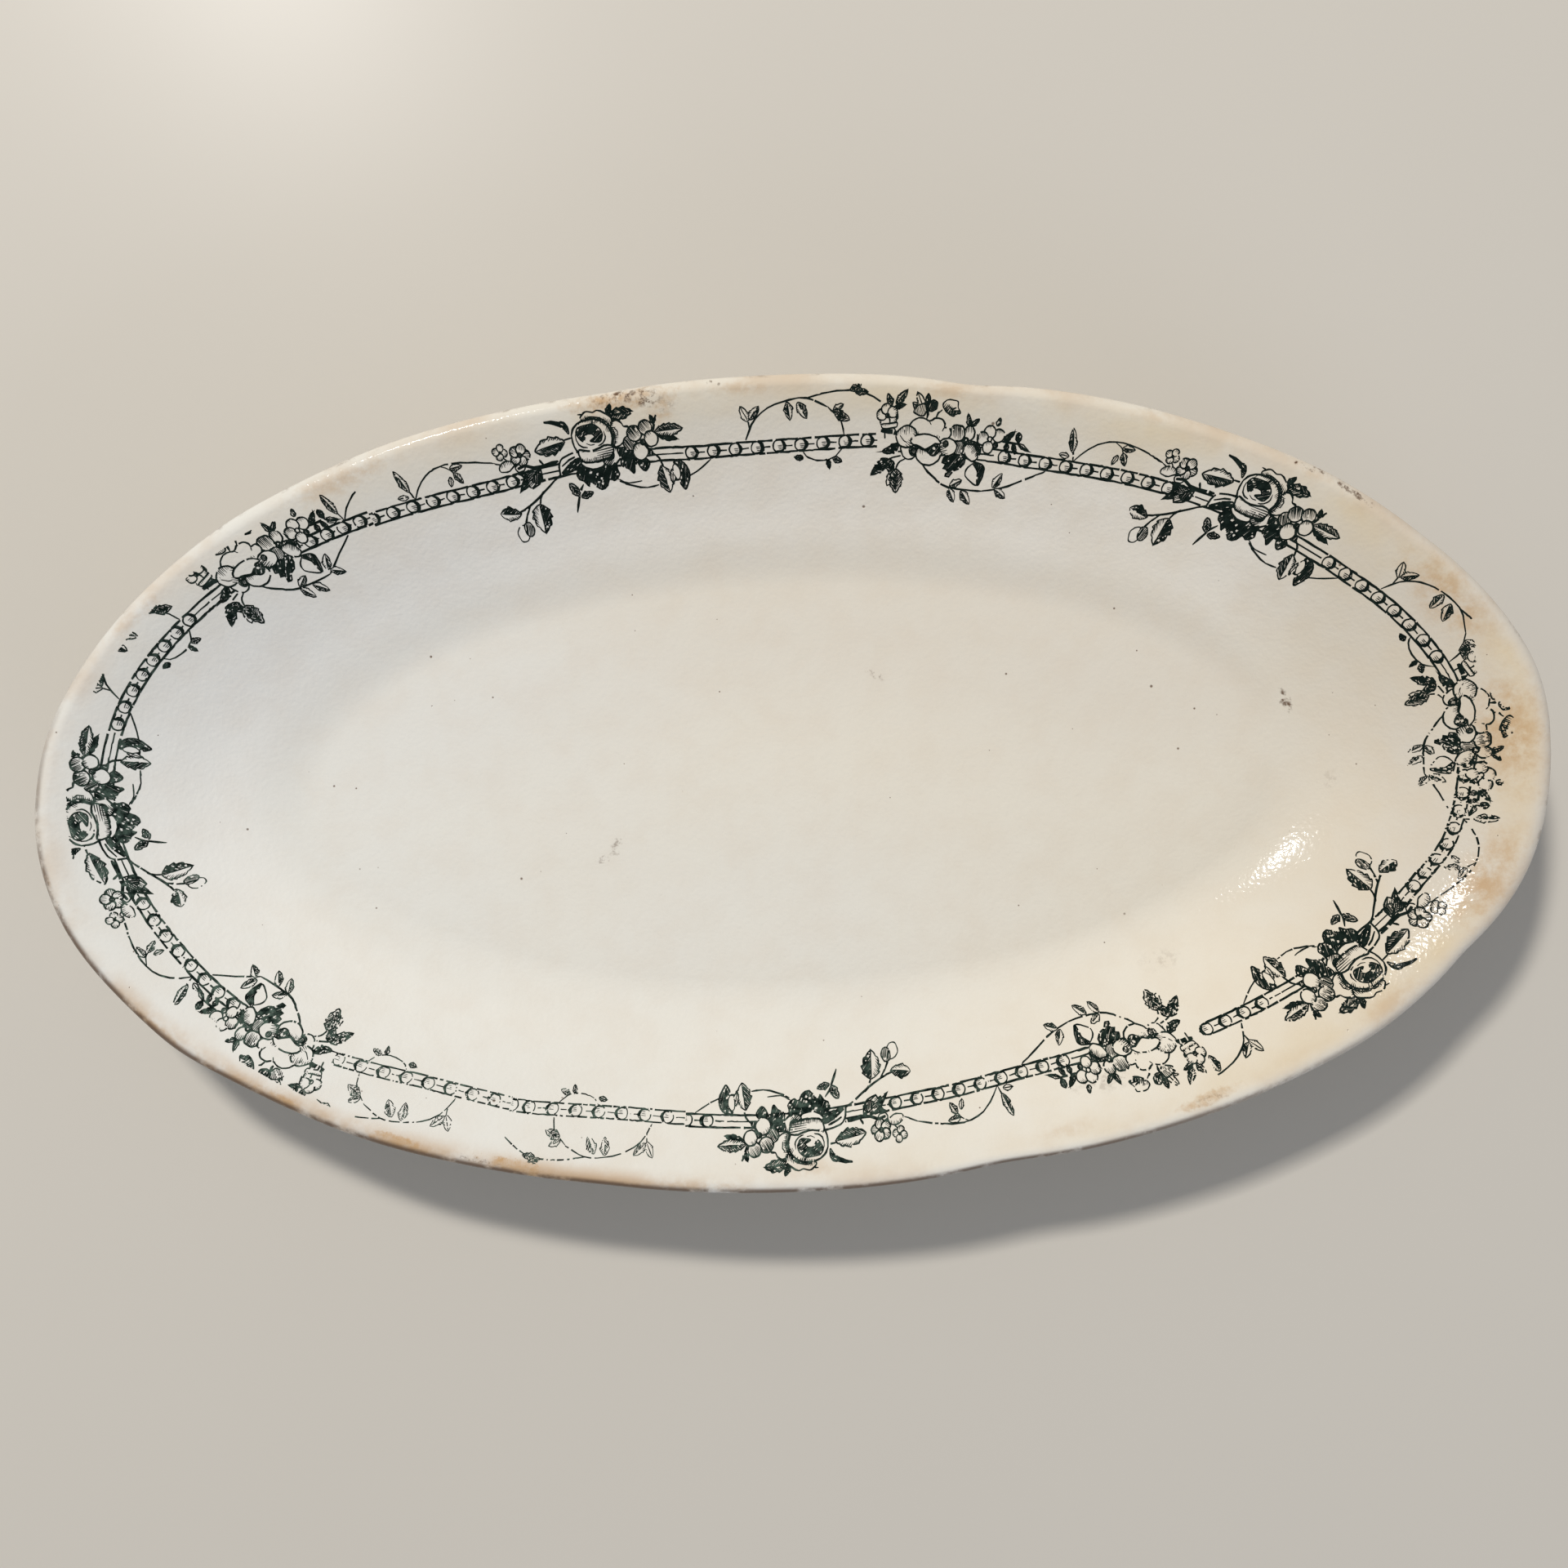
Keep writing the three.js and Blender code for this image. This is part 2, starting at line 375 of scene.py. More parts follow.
class Sheet:
    """A drawing: strokes as (points, widths), back to front."""

    def __init__(self, level=0.0, tilt=0.0, seed=1):
        self.level = level
        self.tilt = tilt
        self.strokes = []
        self.covers = []
        self.hand = random.Random(seed)

    def place(self, points):
        """From the sheet's numbers to height above the middle of the band."""
        points = np.asarray(points, float)
        return np.stack([points[:, 0], self.level + self.tilt * points[:, 0] - points[:, 1]], 1)

    def unsteady(self, count):
        """Smooth random numbers from -1 to 1 along a line."""
        knots = [self.hand.uniform(-1, 1) for _ in range(count // TREMBLE + 2)]
        return np.interp(np.arange(count) / TREMBLE, range(len(knots)), knots)

    def add(self, line, width, taper=0.6, wobble=0.28, shake=0.05, fade=(1, 1)):
        """One cut of the graver: an unsteady line that swells and thins, and is thin at the ends."""
        count = len(line)
        along = np.linspace(0, 1, count)
        ends = np.minimum(1, np.minimum(along, 1 - along) * count * STEP / POINTED)
        way = np.gradient(line, axis=0)
        way /= np.linalg.norm(way, axis=1, keepdims=True) + 1e-9
        aside = np.stack([-way[:, 1], way[:, 0]], 1) * self.unsteady(count)[:, None]
        swell = (1 + wobble * self.unsteady(count)) * (fade[0] + (fade[1] - fade[0]) * along)
        self.strokes.append((line + shake * aside, HEAVY * width * swell * (1 - taper * (1 - ends))))

    def line(self, points, width=0.32, taper=0.5):
        self.add(flow(self.place(points)), width, taper)

    def keep(self, chosen):
        """Only the parts of each stroke that the test chooses stay."""
        kept = []
        for line, width in self.strokes:
            edges = np.flatnonzero(np.diff(np.r_[False, chosen(line), False].astype(int)))
            kept += [(line[a:b], width[a:b]) for a, b in zip(edges[::2], edges[1::2]) if b - a > 1]
        self.strokes = kept

    def rub_out(self, outline):
        """What lies behind the outline goes."""
        low, high = outline.min(0), outline.max(0)

        def clear(line):
            if (line.max(0) < low).any() or (line.min(0) > high).any():
                return np.ones(len(line), bool)
            return ~inside(line, outline)

        self.keep(clear)

    def trim(self, first, last):
        """Scissors: only what lies between two places along the band stays."""
        self.keep(lambda line: (line[:, 0] >= first) & (line[:, 0] <= last))

    def shape(self, points, width, smooth=True):
        """A closed outline in front of all before it."""
        outline = self.place(points)
        outline = flow(outline, closed=True) if smooth else evenly(np.vstack([outline, outline[:1]]))
        self.rub_out(outline)
        self.covers.append(outline)
        if width:
            self.add(outline, width, taper=0)
        return outline

    def tinted(self, points, width, gap, cut, angle, start=0.0, end=1.0, smooth=True):
        """A shape hatched with cuts of the given gap, width and angle."""
        outline = self.shape(points, width, smooth)
        self.hatch(outline, gap, cut, angle, start, end)
        return outline

    def black(self, points, width, angle, smooth=True):
        """A shape that prints black."""
        self.solid(self.shape(points, width, smooth), angle)

    def hatch(self, outline, gap, width, angle, start=0.0, end=1.0, wander=0.1):
        """Parallel cuts across an outline, each from one share of its length to another."""
        turn = math.radians(angle)
        along = np.array([math.cos(turn), math.sin(turn)])
        across = np.array([-along[1], along[0]])
        u, v = outline @ along, outline @ across
        fade = (1.5, 0.5) if end < 1 and not start else (0.5, 1.5) if start and end >= 1 else (1, 1)
        for row in np.arange(v.min() + gap / 2, v.max(), gap):
            row += self.hand.uniform(-0.14, 0.14) * gap
            low, high = v, np.roll(v, -1)
            cut = (low > row) != (high > row)
            if cut.sum() < 2:
                continue
            share = (row - low[cut]) / (high[cut] - low[cut])
            hits = np.sort(u[cut] + share * (np.roll(u, -1)[cut] - u[cut]))
            for first, last in zip(hits[::2], hits[1::2]):
                reach = last - first
                if reach < NARROWEST:
                    continue
                a = first + reach * max(0, start + self.hand.uniform(-wander, wander) * (start > 0))
                b = first + reach * min(1, end + self.hand.uniform(-wander, wander) * (end < 1))
                if b - a < SHORTEST:
                    continue
                line = evenly(np.array([along * a + across * row, along * b + across * row]))
                self.add(line, width * self.hand.uniform(0.8, 1.3), 0.5, wobble=0.35, shake=0.03, fade=fade)

    def solid(self, outline, angle=70.0, flecks=True):
        """Cuts so close that they print black, with a few slits and flecks of light left."""
        self.hatch(outline, BLACK_GAP, BLACK_CUT, angle, wander=0.02)
        self.add(outline, 0.26, taper=0)
        low, high = outline.min(0) + FLECK_MARGIN, outline.max(0) - FLECK_MARGIN
        if flecks and (high > low).all():
            for _ in range(int(FLECKS * np.prod(high - low))):
                spot = np.array([self.hand.uniform(low[0], high[0]), self.hand.uniform(low[1], high[1])])
                size = self.hand.uniform(0.09, 0.2)
                self.rub_out(spot + FLECK * size)

    def shadow(self, points, angle=70.0):
        """A black hollow between petals."""
        self.solid(self.shape(points, 0), angle, flecks=False)

    def ring(self, x, down, radius, width, squash=1.0):
        """A round petal or bead."""
        spin = np.linspace(0, 2 * math.pi, 24, endpoint=False)
        u = radius * np.cos(spin)
        v = radius * squash * np.sin(spin)
        return self.shape(np.stack([x + u, down + v], 1), width)

    def dot(self, x, down, radius):
        """A black spot."""
        self.solid(self.ring(x, down, radius, width=0.2))

    def leaf(self, base, tip, half, teeth=4, tone=(0.9, 0.35), vein=True, broad=0.45, width=0.28, bow=0.0):
        """A leaf from its base to its tip. Its tone is how far the hatching of each half reaches."""
        base, tip = np.asarray(base, float), np.asarray(tip, float)
        axis = tip - base
        length = math.hypot(*axis)
        axis /= length
        side = np.array([-axis[1], axis[0]])
        share = np.linspace(0, 1, 4 * teeth + 7)
        fullness = np.sin(math.pi * share ** (math.log(0.5) / math.log(broad))) ** 0.8
        jag = 1 + 0.16 * (2 * ((share * teeth) % 1) - 1) * (share > 0.12) * (share < 0.93)
        curve = bow * np.sin(math.pi * share)
        halves = []
        for way in (1, -1):
            reach = way * half * fullness * jag + curve
            halves.append(base + np.outer(share * length, axis) + np.outer(reach, side))
        rib = base + np.outer(share * length, axis) + np.outer(curve, side)
        whole = np.vstack([halves[0], halves[1][-2:0:-1]])
        self.shape(whole, width, smooth=False)
        for points, amount, lean in ((halves[0], tone[0], 38), (halves[1], tone[1], -38)):
            part = evenly(self.place(np.vstack([points, rib[-2:0:-1]])))
            direction = self.place([base, tip])
            heading = math.degrees(math.atan2(*(direction[1] - direction[0])[::-1]))
            if amount >= 1:
                self.solid(part, angle=heading + lean)
            elif amount > 0:
                self.hatch(part, 0.3, 0.16 + 0.12 * amount, heading + lean, end=amount)
            if 0.7 <= amount < 1:
                mass = rib + (points - rib) * self.hand.uniform(0.4, 0.62)
                core = evenly(self.place(np.vstack([mass[2:-3], rib[-4:2:-1]])))
                self.hatch(core, BLACK_GAP, BLACK_CUT, heading + lean, wander=0.02)
        if vein:
            self.line(rib[1:-1:2], 0.26)

    def blossom(self, x, down, radius, petals, turn, eye, tone, width=0.26):
        """A small open flower of round petals about a dark eye."""
        for i in range(petals):
            spin = math.radians(turn + 360 * i / petals)
            px, py = x + 0.58 * radius * math.cos(spin), down + 0.58 * radius * math.sin(spin)
            petal = self.ring(px, py, 0.5 * radius, width)
            self.hatch(petal, 0.3, 0.16, -math.degrees(spin) + 180, end=tone)
        self.dot(x, down, eye)


def vine_leaves(sheet, x, leaves):
    """Small leaves of the vine: place along from x, place down, turn, length and tone."""
    for along, down, turn, length, tone in leaves:
        spin = math.radians(turn)
        tip = (x + along + length * math.cos(spin), down + length * math.sin(spin))
        sheet.leaf((x + along, down), tip, length * 0.26, 2, tone, width=0.22)


def vine(sheet, x, points, width):
    """A stem of the vine, with its points' places along from x."""
    sheet.line([(x + along, down) for along, down in points], width)


def rose_spray():
    """Rose, its leaves and the small flowers that cling to the band on both sides of it."""
    r = Sheet(level=12.44, tilt=0.022, seed=7)
    # hanging stems and leaves, left
    r.line([(-4.6, 13.1), (-6.2, 13.7), (-8.7, 15.1), (-12.2, 16.7), (-15, 17.5), (-16.8, 17.8)], 0.42)
    r.line([(-9.2, 15.1), (-10.1, 16), (-10.7, 17.2)], 0.42)
    r.line([(-12.7, 16.9), (-13.9, 18.3), (-14.9, 19.9)], 0.42)
    r.leaf((-15, 17.9), (-19.1, 16.9), 1.25, 3, (0.95, 0.5), broad=0.55)
    r.leaf((-10.8, 17.1), (-11.4, 22.3), 1.9, 4, (0.45, 1), broad=0.42)
    r.shape(
        [(-15.2, 20), (-16.2, 19.9), (-17.1, 20.8), (-17, 22), (-16.6, 22.7), (-15.4, 22.6), (-14.9, 21.4)],
        0.26,
    )
    r.tinted(
        [(-15.3, 19.9), (-14.2, 19.6), (-13.6, 20.6), (-13.7, 21.6), (-14.6, 22.2), (-15.4, 21.4)],
        0.28, 0.3, 0.26, 75,
    )
    # inner twig
    r.line([(-0.9, 15.6), (-1.8, 16.5), (-2.6, 17.9), (-3.7, 20.2)], 0.5, taper=0.7)
    r.leaf((-2.3, 17.4), (-3.7, 14.9), 0.75, 2, (0.9, 0.7))
    r.leaf((-2, 17.7), (0.6, 17.3), 0.6, 2, (0.7, 0.7))
    # black leaves under the flower
    r.black(
        [(-1.6, 13.5), (-0.7, 12.7), (1.2, 13.2), (4, 13), (6.4, 13), (6.5, 14), (6.7, 15.2), (5.6, 16),
         (4.5, 15.7), (3.8, 16.7), (2.6, 17.2), (1.6, 16.5), (1.1, 15.8), (0.1, 16.1), (-0.6, 15.2),
         (-1.5, 14.5)],
        0.3, 62,
    )
    # trailing stems, right
    r.line([(6.4, 16.3), (8, 17.1), (11, 18.1), (14.3, 18)], 0.3)
    r.line([(6.2, 15.9), (8.2, 16.9), (11, 16.9)], 0.28)
    r.line([(15.4, 16.9), (18, 17.4), (21, 16.8), (23.4, 15.6), (25.6, 14.3)], 0.3)
    r.line([(14.3, 12.4), (15.4, 13.7), (16, 16)], 0.36)
    # hanging pair, right
    r.leaf((15.4, 14.7), (16.3, 19.5), 1.5, 4, (0.9, 0.25), broad=0.5)
    r.leaf((17.7, 15.4), (17.2, 17.9), 0.6, 2, (0.6, 0.4))
    r.black(
        [(18, 14.2), (19.4, 14.1), (20.5, 15.2), (20.9, 16.6), (20.4, 18), (19.6, 19.1), (18.8, 18.1),
         (18.6, 16.6)],
        0.3, 80,
    )
    r.shape([(18.2, 14.6), (19, 15.6), (18.9, 16.9), (18.3, 17.4), (17.7, 16.4), (17.6, 15.2)], 0.26)
    # small flowers, left
    r.line([(-15, 7.6), (-14, 8.8), (-12.8, 10)], 0.34)
    r.blossom(-15.1, 6.7, 1.35, petals=4, turn=20, eye=0.2, tone=0.5)
    r.tinted(
        [(-16.2, 9.8), (-15.9, 8.9), (-14.6, 8.4), (-13.6, 8.8), (-13.3, 9.6), (-14.8, 10.3)],
        0.28, 0.34, 0.18, 90, start=0.5,
    )
    r.shape([(-13.2, 10), (-12.2, 9.6), (-11.2, 10), (-11.6, 10.8), (-12.8, 10.8)], 0.26)
    r.blossom(-11.6, 8.1, 1.85, petals=5, turn=10, eye=0.42, tone=0.55, width=0.32)
    # twig with a thorn along the band's upper edge
    r.line([(-12.8, 10.3), (-11.3, 10), (-10.2, 10.6), (-8.4, 10.95), (-6.4, 10.9), (-4.6, 10.75)], 0.74)
    r.line([(-7.5, 10.9), (-8.2, 9.7)], 0.5)
    # leaf across the band
    across = r.tinted(
        [(-13.3, 11), (-12.5, 11.5), (-12, 12.1), (-13, 13.2), (-13.6, 14.1), (-11.7, 13.6), (-11.3, 14.2),
         (-9.6, 13.8), (-8.6, 12.9), (-8.4, 11.4), (-9.7, 11.6), (-10.8, 11), (-12, 11.2)],
        0.34, 0.34, 0.2, 28, smooth=False,
    )
    r.hatch(across, 0.3, 0.28, 150, start=0.45)
    r.shadow([(-10.8, 12.9), (-9.6, 11.9), (-8.8, 12), (-8.8, 12.9), (-9.8, 13.5)])
    r.shadow([(-13.1, 13.6), (-12.2, 12.7), (-11.4, 12.8), (-12.1, 13.4)])
    # rolled leaf
    r.shape(
        [(-4.9, 13.2), (-4.6, 11.4), (-3.5, 10.4), (-0.2, 10.1), (0, 12.6), (-2.3, 12.9), (-4.2, 13.3)],
        0.36,
    )
    r.black([(-4.5, 13), (-3.4, 12.2), (-1.7, 11.3), (-0.3, 11.2), (-0.1, 12.5), (-2.3, 12.9)], 0.3, 25)
    r.line([(-4.2, 11.8), (-3, 11.2), (-1.2, 10.7)], 0.4)
    # leaf and bud at the upper left
    r.line([(-2.6, 7.5), (-1, 7.4)], 0.34)
    r.leaf((-2.4, 7.7), (-8.5, 8.2), 1.55, 4, (0.35, 0.9), broad=0.5, width=0.32)
    r.black(
        [(-5.4, 3.7), (-4.2, 3.7), (-2.9, 4.2), (-1.8, 4.4), (-1.2, 5.4), (-1.3, 6.6), (-2, 5.6),
         (-2.9, 4.9), (-4, 4.2)],
        0.24, 150,
    )
    # leaves at the top
    r.leaf((6.6, 4.9), (11.5, 4.7), 1.05, 4, (0.9, 1), broad=0.55)
    r.leaf((6.8, 4.6), (7.6, 3), 0.5, 2, (1, 1))
    r.line([(1.2, 3.7), (2, 3.9), (1.8, 4.5)], 0.4)
    # petals behind
    r.tinted(
        [(6.6, 6.7), (7.3, 6), (8.2, 5.8), (9, 6.3), (9.4, 7.1), (10.2, 7.3), (10.1, 8.5), (9.3, 9.4),
         (8.5, 10), (7.1, 10.4), (6.3, 9)],
        0.34, 0.3, 0.24, 0, end=0.4,
    )
    r.shadow([(6.5, 6.6), (7.2, 7.2), (7.4, 8.8), (7, 10), (6.5, 9.6)])
    r.line([(7.5, 7), (8, 7.8), (8, 8.9)], 0.22)
    r.tinted(
        [(1.6, 4.7), (2, 3.9), (2.9, 3.5), (4, 3.8), (5.1, 3.6), (6.3, 4.3), (7.3, 5.2), (7.3, 6.3),
         (6.4, 6.9), (5, 6), (3, 5.4)],
        0.34, 0.3, 0.24, 100, end=0.6,
    )
    r.shadow([(2.2, 5.1), (3.2, 4.5), (5, 4.9), (6.3, 5.8), (6.9, 6.9), (6.2, 6.9), (4.8, 5.8), (3.4, 5.3)])
    for points in (
        [(-0.1, 11.8), (0.2, 12.8), (1.8, 13.5), (3.8, 13.3), (4.3, 12.4), (3, 11.4)],
        [(4.1, 12.2), (4.4, 13), (5.6, 13.5), (7.2, 12.8), (8, 11.6), (7.4, 10.7), (6.3, 10.4), (4.8, 11.4)],
    ):
        lower = r.tinted(points, 0.36, 0.34, 0.2, 80, start=0.72)
    r.hatch(lower, 0.3, 0.24, 40, end=0.35)
    r.shadow([(4.5, 11.6), (5.4, 11), (6.4, 11.2), (6.3, 12.1), (5.3, 12.5)])
    # bowl and heart of the rose
    r.tinted(
        [(-0.9, 8.4), (-0.8, 6.8), (0.3, 5.5), (2.2, 4.9), (4.3, 5.1), (6, 6.2), (6.8, 7.9), (6.6, 9.6),
         (5.6, 10.8), (3, 11.1), (0.6, 10.9), (-0.5, 9.9)],
        0.38, 0.32, 0.18, 62, start=0.88,
    )
    r.black(
        [(0.1, 6.8), (0.8, 5.9), (2.2, 5.8), (3.7, 5.9), (4.9, 7), (5, 8.1), (4.3, 9), (3.2, 8.9),
         (2.5, 8.6), (3.5, 8.1), (3.1, 7.5), (2.1, 7.3), (1.6, 7.9), (1.2, 8.5), (0.6, 8)],
        0.26, 35,
    )
    r.ring(1.5, 6.9, 0.28, 0, squash=0.5)
    r.line([(-0.1, 7), (-0.1, 8.2), (0.5, 9.2), (1.7, 9.7)], 0.26)
    r.line([(5.4, 7.3), (5.5, 8.4), (4.9, 9.3), (3.8, 9.7)], 0.24)
    r.line([(1.6, 8.9), (2.4, 9.3), (3.2, 9.3)], 0.2)
    roll = r.tinted(
        [(-0.2, 9.8), (1.8, 10.3), (3.4, 10.2), (5, 9.8), (6.5, 10.1), (6.5, 11.2), (5.6, 12), (3.2, 12.3),
         (0.8, 12.1), (-0.1, 11.4)],
        0.36, 0.4, 0.16, 4, start=0.45,
    )
    r.hatch(roll, 0.3, 0.2, 88, end=0.35)
    # black leaves, right
    for points in (
        [(7.3, 10.9), (8.6, 10.7), (9.9, 11.3), (10.5, 12.4), (10.2, 13.8), (9.7, 15.3), (8.8, 14.5),
         (7.5, 13.7), (7.6, 12.4)],
        [(10.6, 13.1), (11.8, 12.9), (13.1, 13.6), (12.9, 14.6), (12, 15.2), (11.1, 14.4)],
    ):
        r.black(points, 0.26, 60)
    # open flower and the leaves past it
    r.shadow([(9, 9.8), (10, 10.2), (11.6, 10.3), (12.3, 10.9), (11, 11.5), (9.6, 11.1)])
    r.line([(15, 8.6), (15.4, 7.2), (15.9, 5.9)], 0.5)
    r.leaf((15.3, 7.4), (14.8, 5.9), 0.4, 2, (1, 1), vein=False)
    r.leaf((15.7, 9.5), (19.4, 10.3), 0.55, 3, (1, 1))
    r.leaf((15.2, 8.8), (20.7, 8.5), 1.1, 5, (0.55, 0.7), broad=0.5)
    shaded = (
        (10, 10.1, 1.25, 1),
        (11.2, 8.6, 1.4, 0.85),
        (13.5, 7.9, 1.3, 0.7),
        (14.3, 9.9, 1.35, 0.2),
        (11.8, 11.8, 1.5, 0.2),
    )
    for x, down, radius, amount in shaded:
        petal = r.ring(x, down, radius, 0.32)
        r.hatch(petal, 0.26, 0.2 if amount > 0.5 else 0.15, 120, start=1 - amount)
    r.dot(12.6, 10.3, 0.5)
    r.line([(12.6, 10.4), (13.3, 11.4), (13.8, 12.4)], 0.55)
    r.dot(13.8, 12.3, 0.42)
    return r


def poppy_spray(sweep):
    """Open poppy with a white heart, its buds, and small flowers on both sides.

    The vine below it joins the band at sweep.
    """
    p = Sheet(level=12.55, tilt=0.0175, seed=11)
    # hanging stems and leaves, left
    p.line([(-11.6, 14.1), (-13, 14.4), (-14.2, 14.9)], 0.36)
    p.line([(-10.6, 14.5), (-11.8, 15.2), (-12.4, 16.5)], 0.36)
    p.leaf((-14, 14.8), (-17.4, 17.6), 1, 3, (1, 0.8), broad=0.4)
    p.leaf((-14, 14.8), (-13.2, 17.2), 0.9, 2, (0.8, 0.9))
    p.leaf((-12.5, 16.5), (-13.9, 19.4), 0.9, 3, (0.4, 0.4), vein=False)
    p.leaf((-12.3, 16.4), (-12, 20.6), 1.35, 4, (0.95, 0.75), broad=0.45)
    # sweeping vine below
    p.line([(-7.3, 14.9), (-6.2, 16.2), (-4.8, 17.2), (-3, 18.4), (-1, 19), (3, 19.2), (6, 19)], 0.36)
    p.line([(6, 19), (0.56 * sweep, 18), (0.78 * sweep, 16.1), (sweep, 14.2)], 0.36)
    p.line([(-7, 15.4), (-5.6, 16.9)], 0.34)
    leaves = (
        (-0.9, 18.8, -28, 2.7),
        (-1, 19.1, 58, 2.9),
        (1.6, 19.4, 44, 3.1),
        (0.45 * sweep, 18.2, -62, 3),
        (0.48 * sweep, 18.4, 28, 2.8),
    )
    vine_leaves(p, 0, [(*leaf, (0.8, 0.3)) for leaf in leaves])
    # leaves right of the flower, below
    p.black(
        [(-2.9, 13.9), (-1.6, 13.3), (0.2, 13), (1.5, 13.2), (1.4, 14.6), (0.6, 15.6), (-0.6, 16.1),
         (-1.3, 17.2), (-2.1, 17.1), (-1.9, 16), (-2.7, 15.8), (-2.3, 15), (-3.1, 14.8)],
        0.28, 55, smooth=False,
    )
    p.shape([(3.2, 14.5), (2.2, 15.3), (2, 16.6), (3.2, 17.6), (4.7, 18.1), (4.6, 16.4), (4, 15.1)], 0.3)
    p.black(
        [(3.2, 14.4), (4.6, 14.3), (5.6, 15), (5.5, 16.7), (4.9, 18.1), (4.5, 17), (4.3, 15.7)],
        0.3, 80,
    )
    # buds
    p.line([(-7.2, 5.8), (-7.1, 6.6), (-7.3, 7.6)], 0.46)
    p.line([(-4.4, 5.8), (-5.1, 6.4), (-5.5, 7.3)], 0.34)
    p.leaf((-8, 6.4), (-10.2, 4.9), 0.7, 2, (0.7, 0.7))
    p.leaf((-7.8, 6.2), (-9.5, 3), 0.75, 2, (0.2, 0.5))
    p.tinted([(-9.9, 6.4), (-9.2, 5.4), (-8, 5), (-7.4, 6), (-7.9, 7), (-9, 7)], 0.28, 0.28, 0.2, 110)
    p.leaf((-7.2, 5.8), (-7.4, 3.2), 0.55, 2, (1, 1))
    p.black([(-7.1, 5.2), (-6.4, 4.2), (-5.5, 4.6), (-5.6, 5.7), (-6.4, 6.2), (-7, 6)], 0.26, 75)
    p.tinted(
        [(-4.4, 5.2), (-4.2, 4.4), (-3.3, 3.9), (-2.4, 4), (-1.6, 4.2), (-1.5, 5.1), (-0.9, 6.1),
         (-1.7, 6.3), (-2.1, 6.8), (-3, 6.5), (-3.6, 6.1)],
        0.28, 0.34, 0.24, 60, end=0.5,
    )
    p.shadow([(-3.1, 6.4), (-2.4, 5.9), (-1.4, 5.7), (-1.2, 6.1), (-1.9, 6.5)])
    p.line([(-3.4, 5), (-2.6, 5.6), (-1.8, 5.2)], 0.3)
    # small flower and sprig, left
    p.leaf((-14.2, 5.6), (-15.1, 3.5), 0.55, 2, (0.9, 0.9))
    p.leaf((-13.4, 5.3), (-11.4, 2.7), 0.65, 2, (0.9, 0.6))
    p.leaf((-13.7, 5.9), (-11.6, 5.3), 0.42, 2, (1, 1))
    p.line([(-13.7, 6), (-12.9, 7.2), (-13.4, 8.6)], 0.42)
    p.line([(-13.9, 9), (-13, 9.9)], 0.36)
    p.blossom(-14.9, 7.3, 1.95, petals=5, turn=40, eye=0.36, tone=0.3, width=0.28)
    p.tinted(
        [(-15.9, 8.9), (-14.6, 8.7), (-13, 8.4), (-13, 9.2), (-14.3, 9.5), (-15.6, 9.6)],
        0.28, 0.34, 0.2, 90, start=0.6,
    )
    p.line([(-16, 10), (-15, 10), (-13.6, 10.1), (-12.7, 10.3)], 0.85)
    p.line([(-15.2, 10.1), (-15.1, 11.3)], 0.4)
    p.leaf((-12.1, 12.1), (-15.4, 13.5), 0.75, 2, (1, 1), bow=-0.35)
    p.line([(-13, 11), (-12.6, 10.6)], 0.3)
    # flowers right of the poppy
    p.leaf((1.2, 8.3), (0.7, 6.2), 0.42, 2, (1, 0.5))
    p.leaf((1.6, 8.2), (2.9, 6.8), 0.42, 2, (0.8, 0.4))
    p.leaf((6.6, 7.6), (6.9, 6.2), 0.4, 2, (0.8, 0.2))
    p.leaf((8.5, 10), (10.1, 8.2), 0.5, 2, (1, 1))
    p.leaf((11.3, 10.1), (11, 8.2), 0.55, 2, (1, 1), broad=0.6)
    p.leaf((11.3, 10.1), (13.6, 11.1), 0.34, 2, (1, 0.6))
    p.leaf((9, 10.3), (9.3, 11.9), 0.4, 2, (1, 1))
    p.leaf((10.3, 10.2), (11.1, 11.9), 0.38, 2, (1, 0.8))
    p.line([(8, 10.1), (9.8, 10.1), (11.4, 10.1)], 0.5)
    for x, down, radius, amount in (
        (7.2, 9.2, 1.15, 0.35),
        (5.4, 8.8, 1.15, 0.2),
        (4.2, 10, 1.1, 0.5),
        (5.5, 11.4, 1.05, 0.3),
    ):
        petal = p.ring(x, down, radius, 0.3)
        p.hatch(petal, 0.28, 0.16, 110, start=1 - amount)
    p.dot(6.9, 10.9, 0.45)
    p.shadow([(1.8, 10.7), (3.2, 10.9), (4.2, 11.8), (4.1, 12.9), (2.9, 12.1), (1.9, 11.5)])
    p.ring(5.6, 10, 0.42, 0.3)
    p.line([(3, 9.4), (3.3, 10.2), (3.1, 11)], 0.32)
    for points, tone in (
        ([(0.4, 9.6), (0.8, 8.4), (1.8, 8.2), (2.5, 9.2), (2.2, 10.3), (1.2, 10.6)], 0.6),
        ([(-2.4, 9), (-1.6, 8.3), (-0.2, 8.3), (0.5, 9.2), (0.3, 10.6), (-1.2, 10.9), (-2.2, 10.3)], 1),
    ):
        p.tinted(points, 0.32, 0.3, 0.2, 100, start=1 - 0.8 * tone)
    p.dot(1, 10.8, 0.55)
    p.ring(1, 10.6, 0.3, 0.24)
    p.tinted([(-0.8, 11), (0.4, 11), (0.9, 12), (0.5, 13), (-0.6, 13.2), (-1.2, 12.2)], 0.3, 0.26, 0.18, 80)
    p.tinted(
        [(0.9, 11.6), (2.3, 11.2), (3.4, 12.1), (3.8, 13.4), (3, 14.1), (1.8, 13.6), (1.1, 12.8)],
        0.32, 0.3, 0.18, 60, start=0.55,
    )
    p.line([(3.4, 14), (4.2, 14.5)], 0.3)
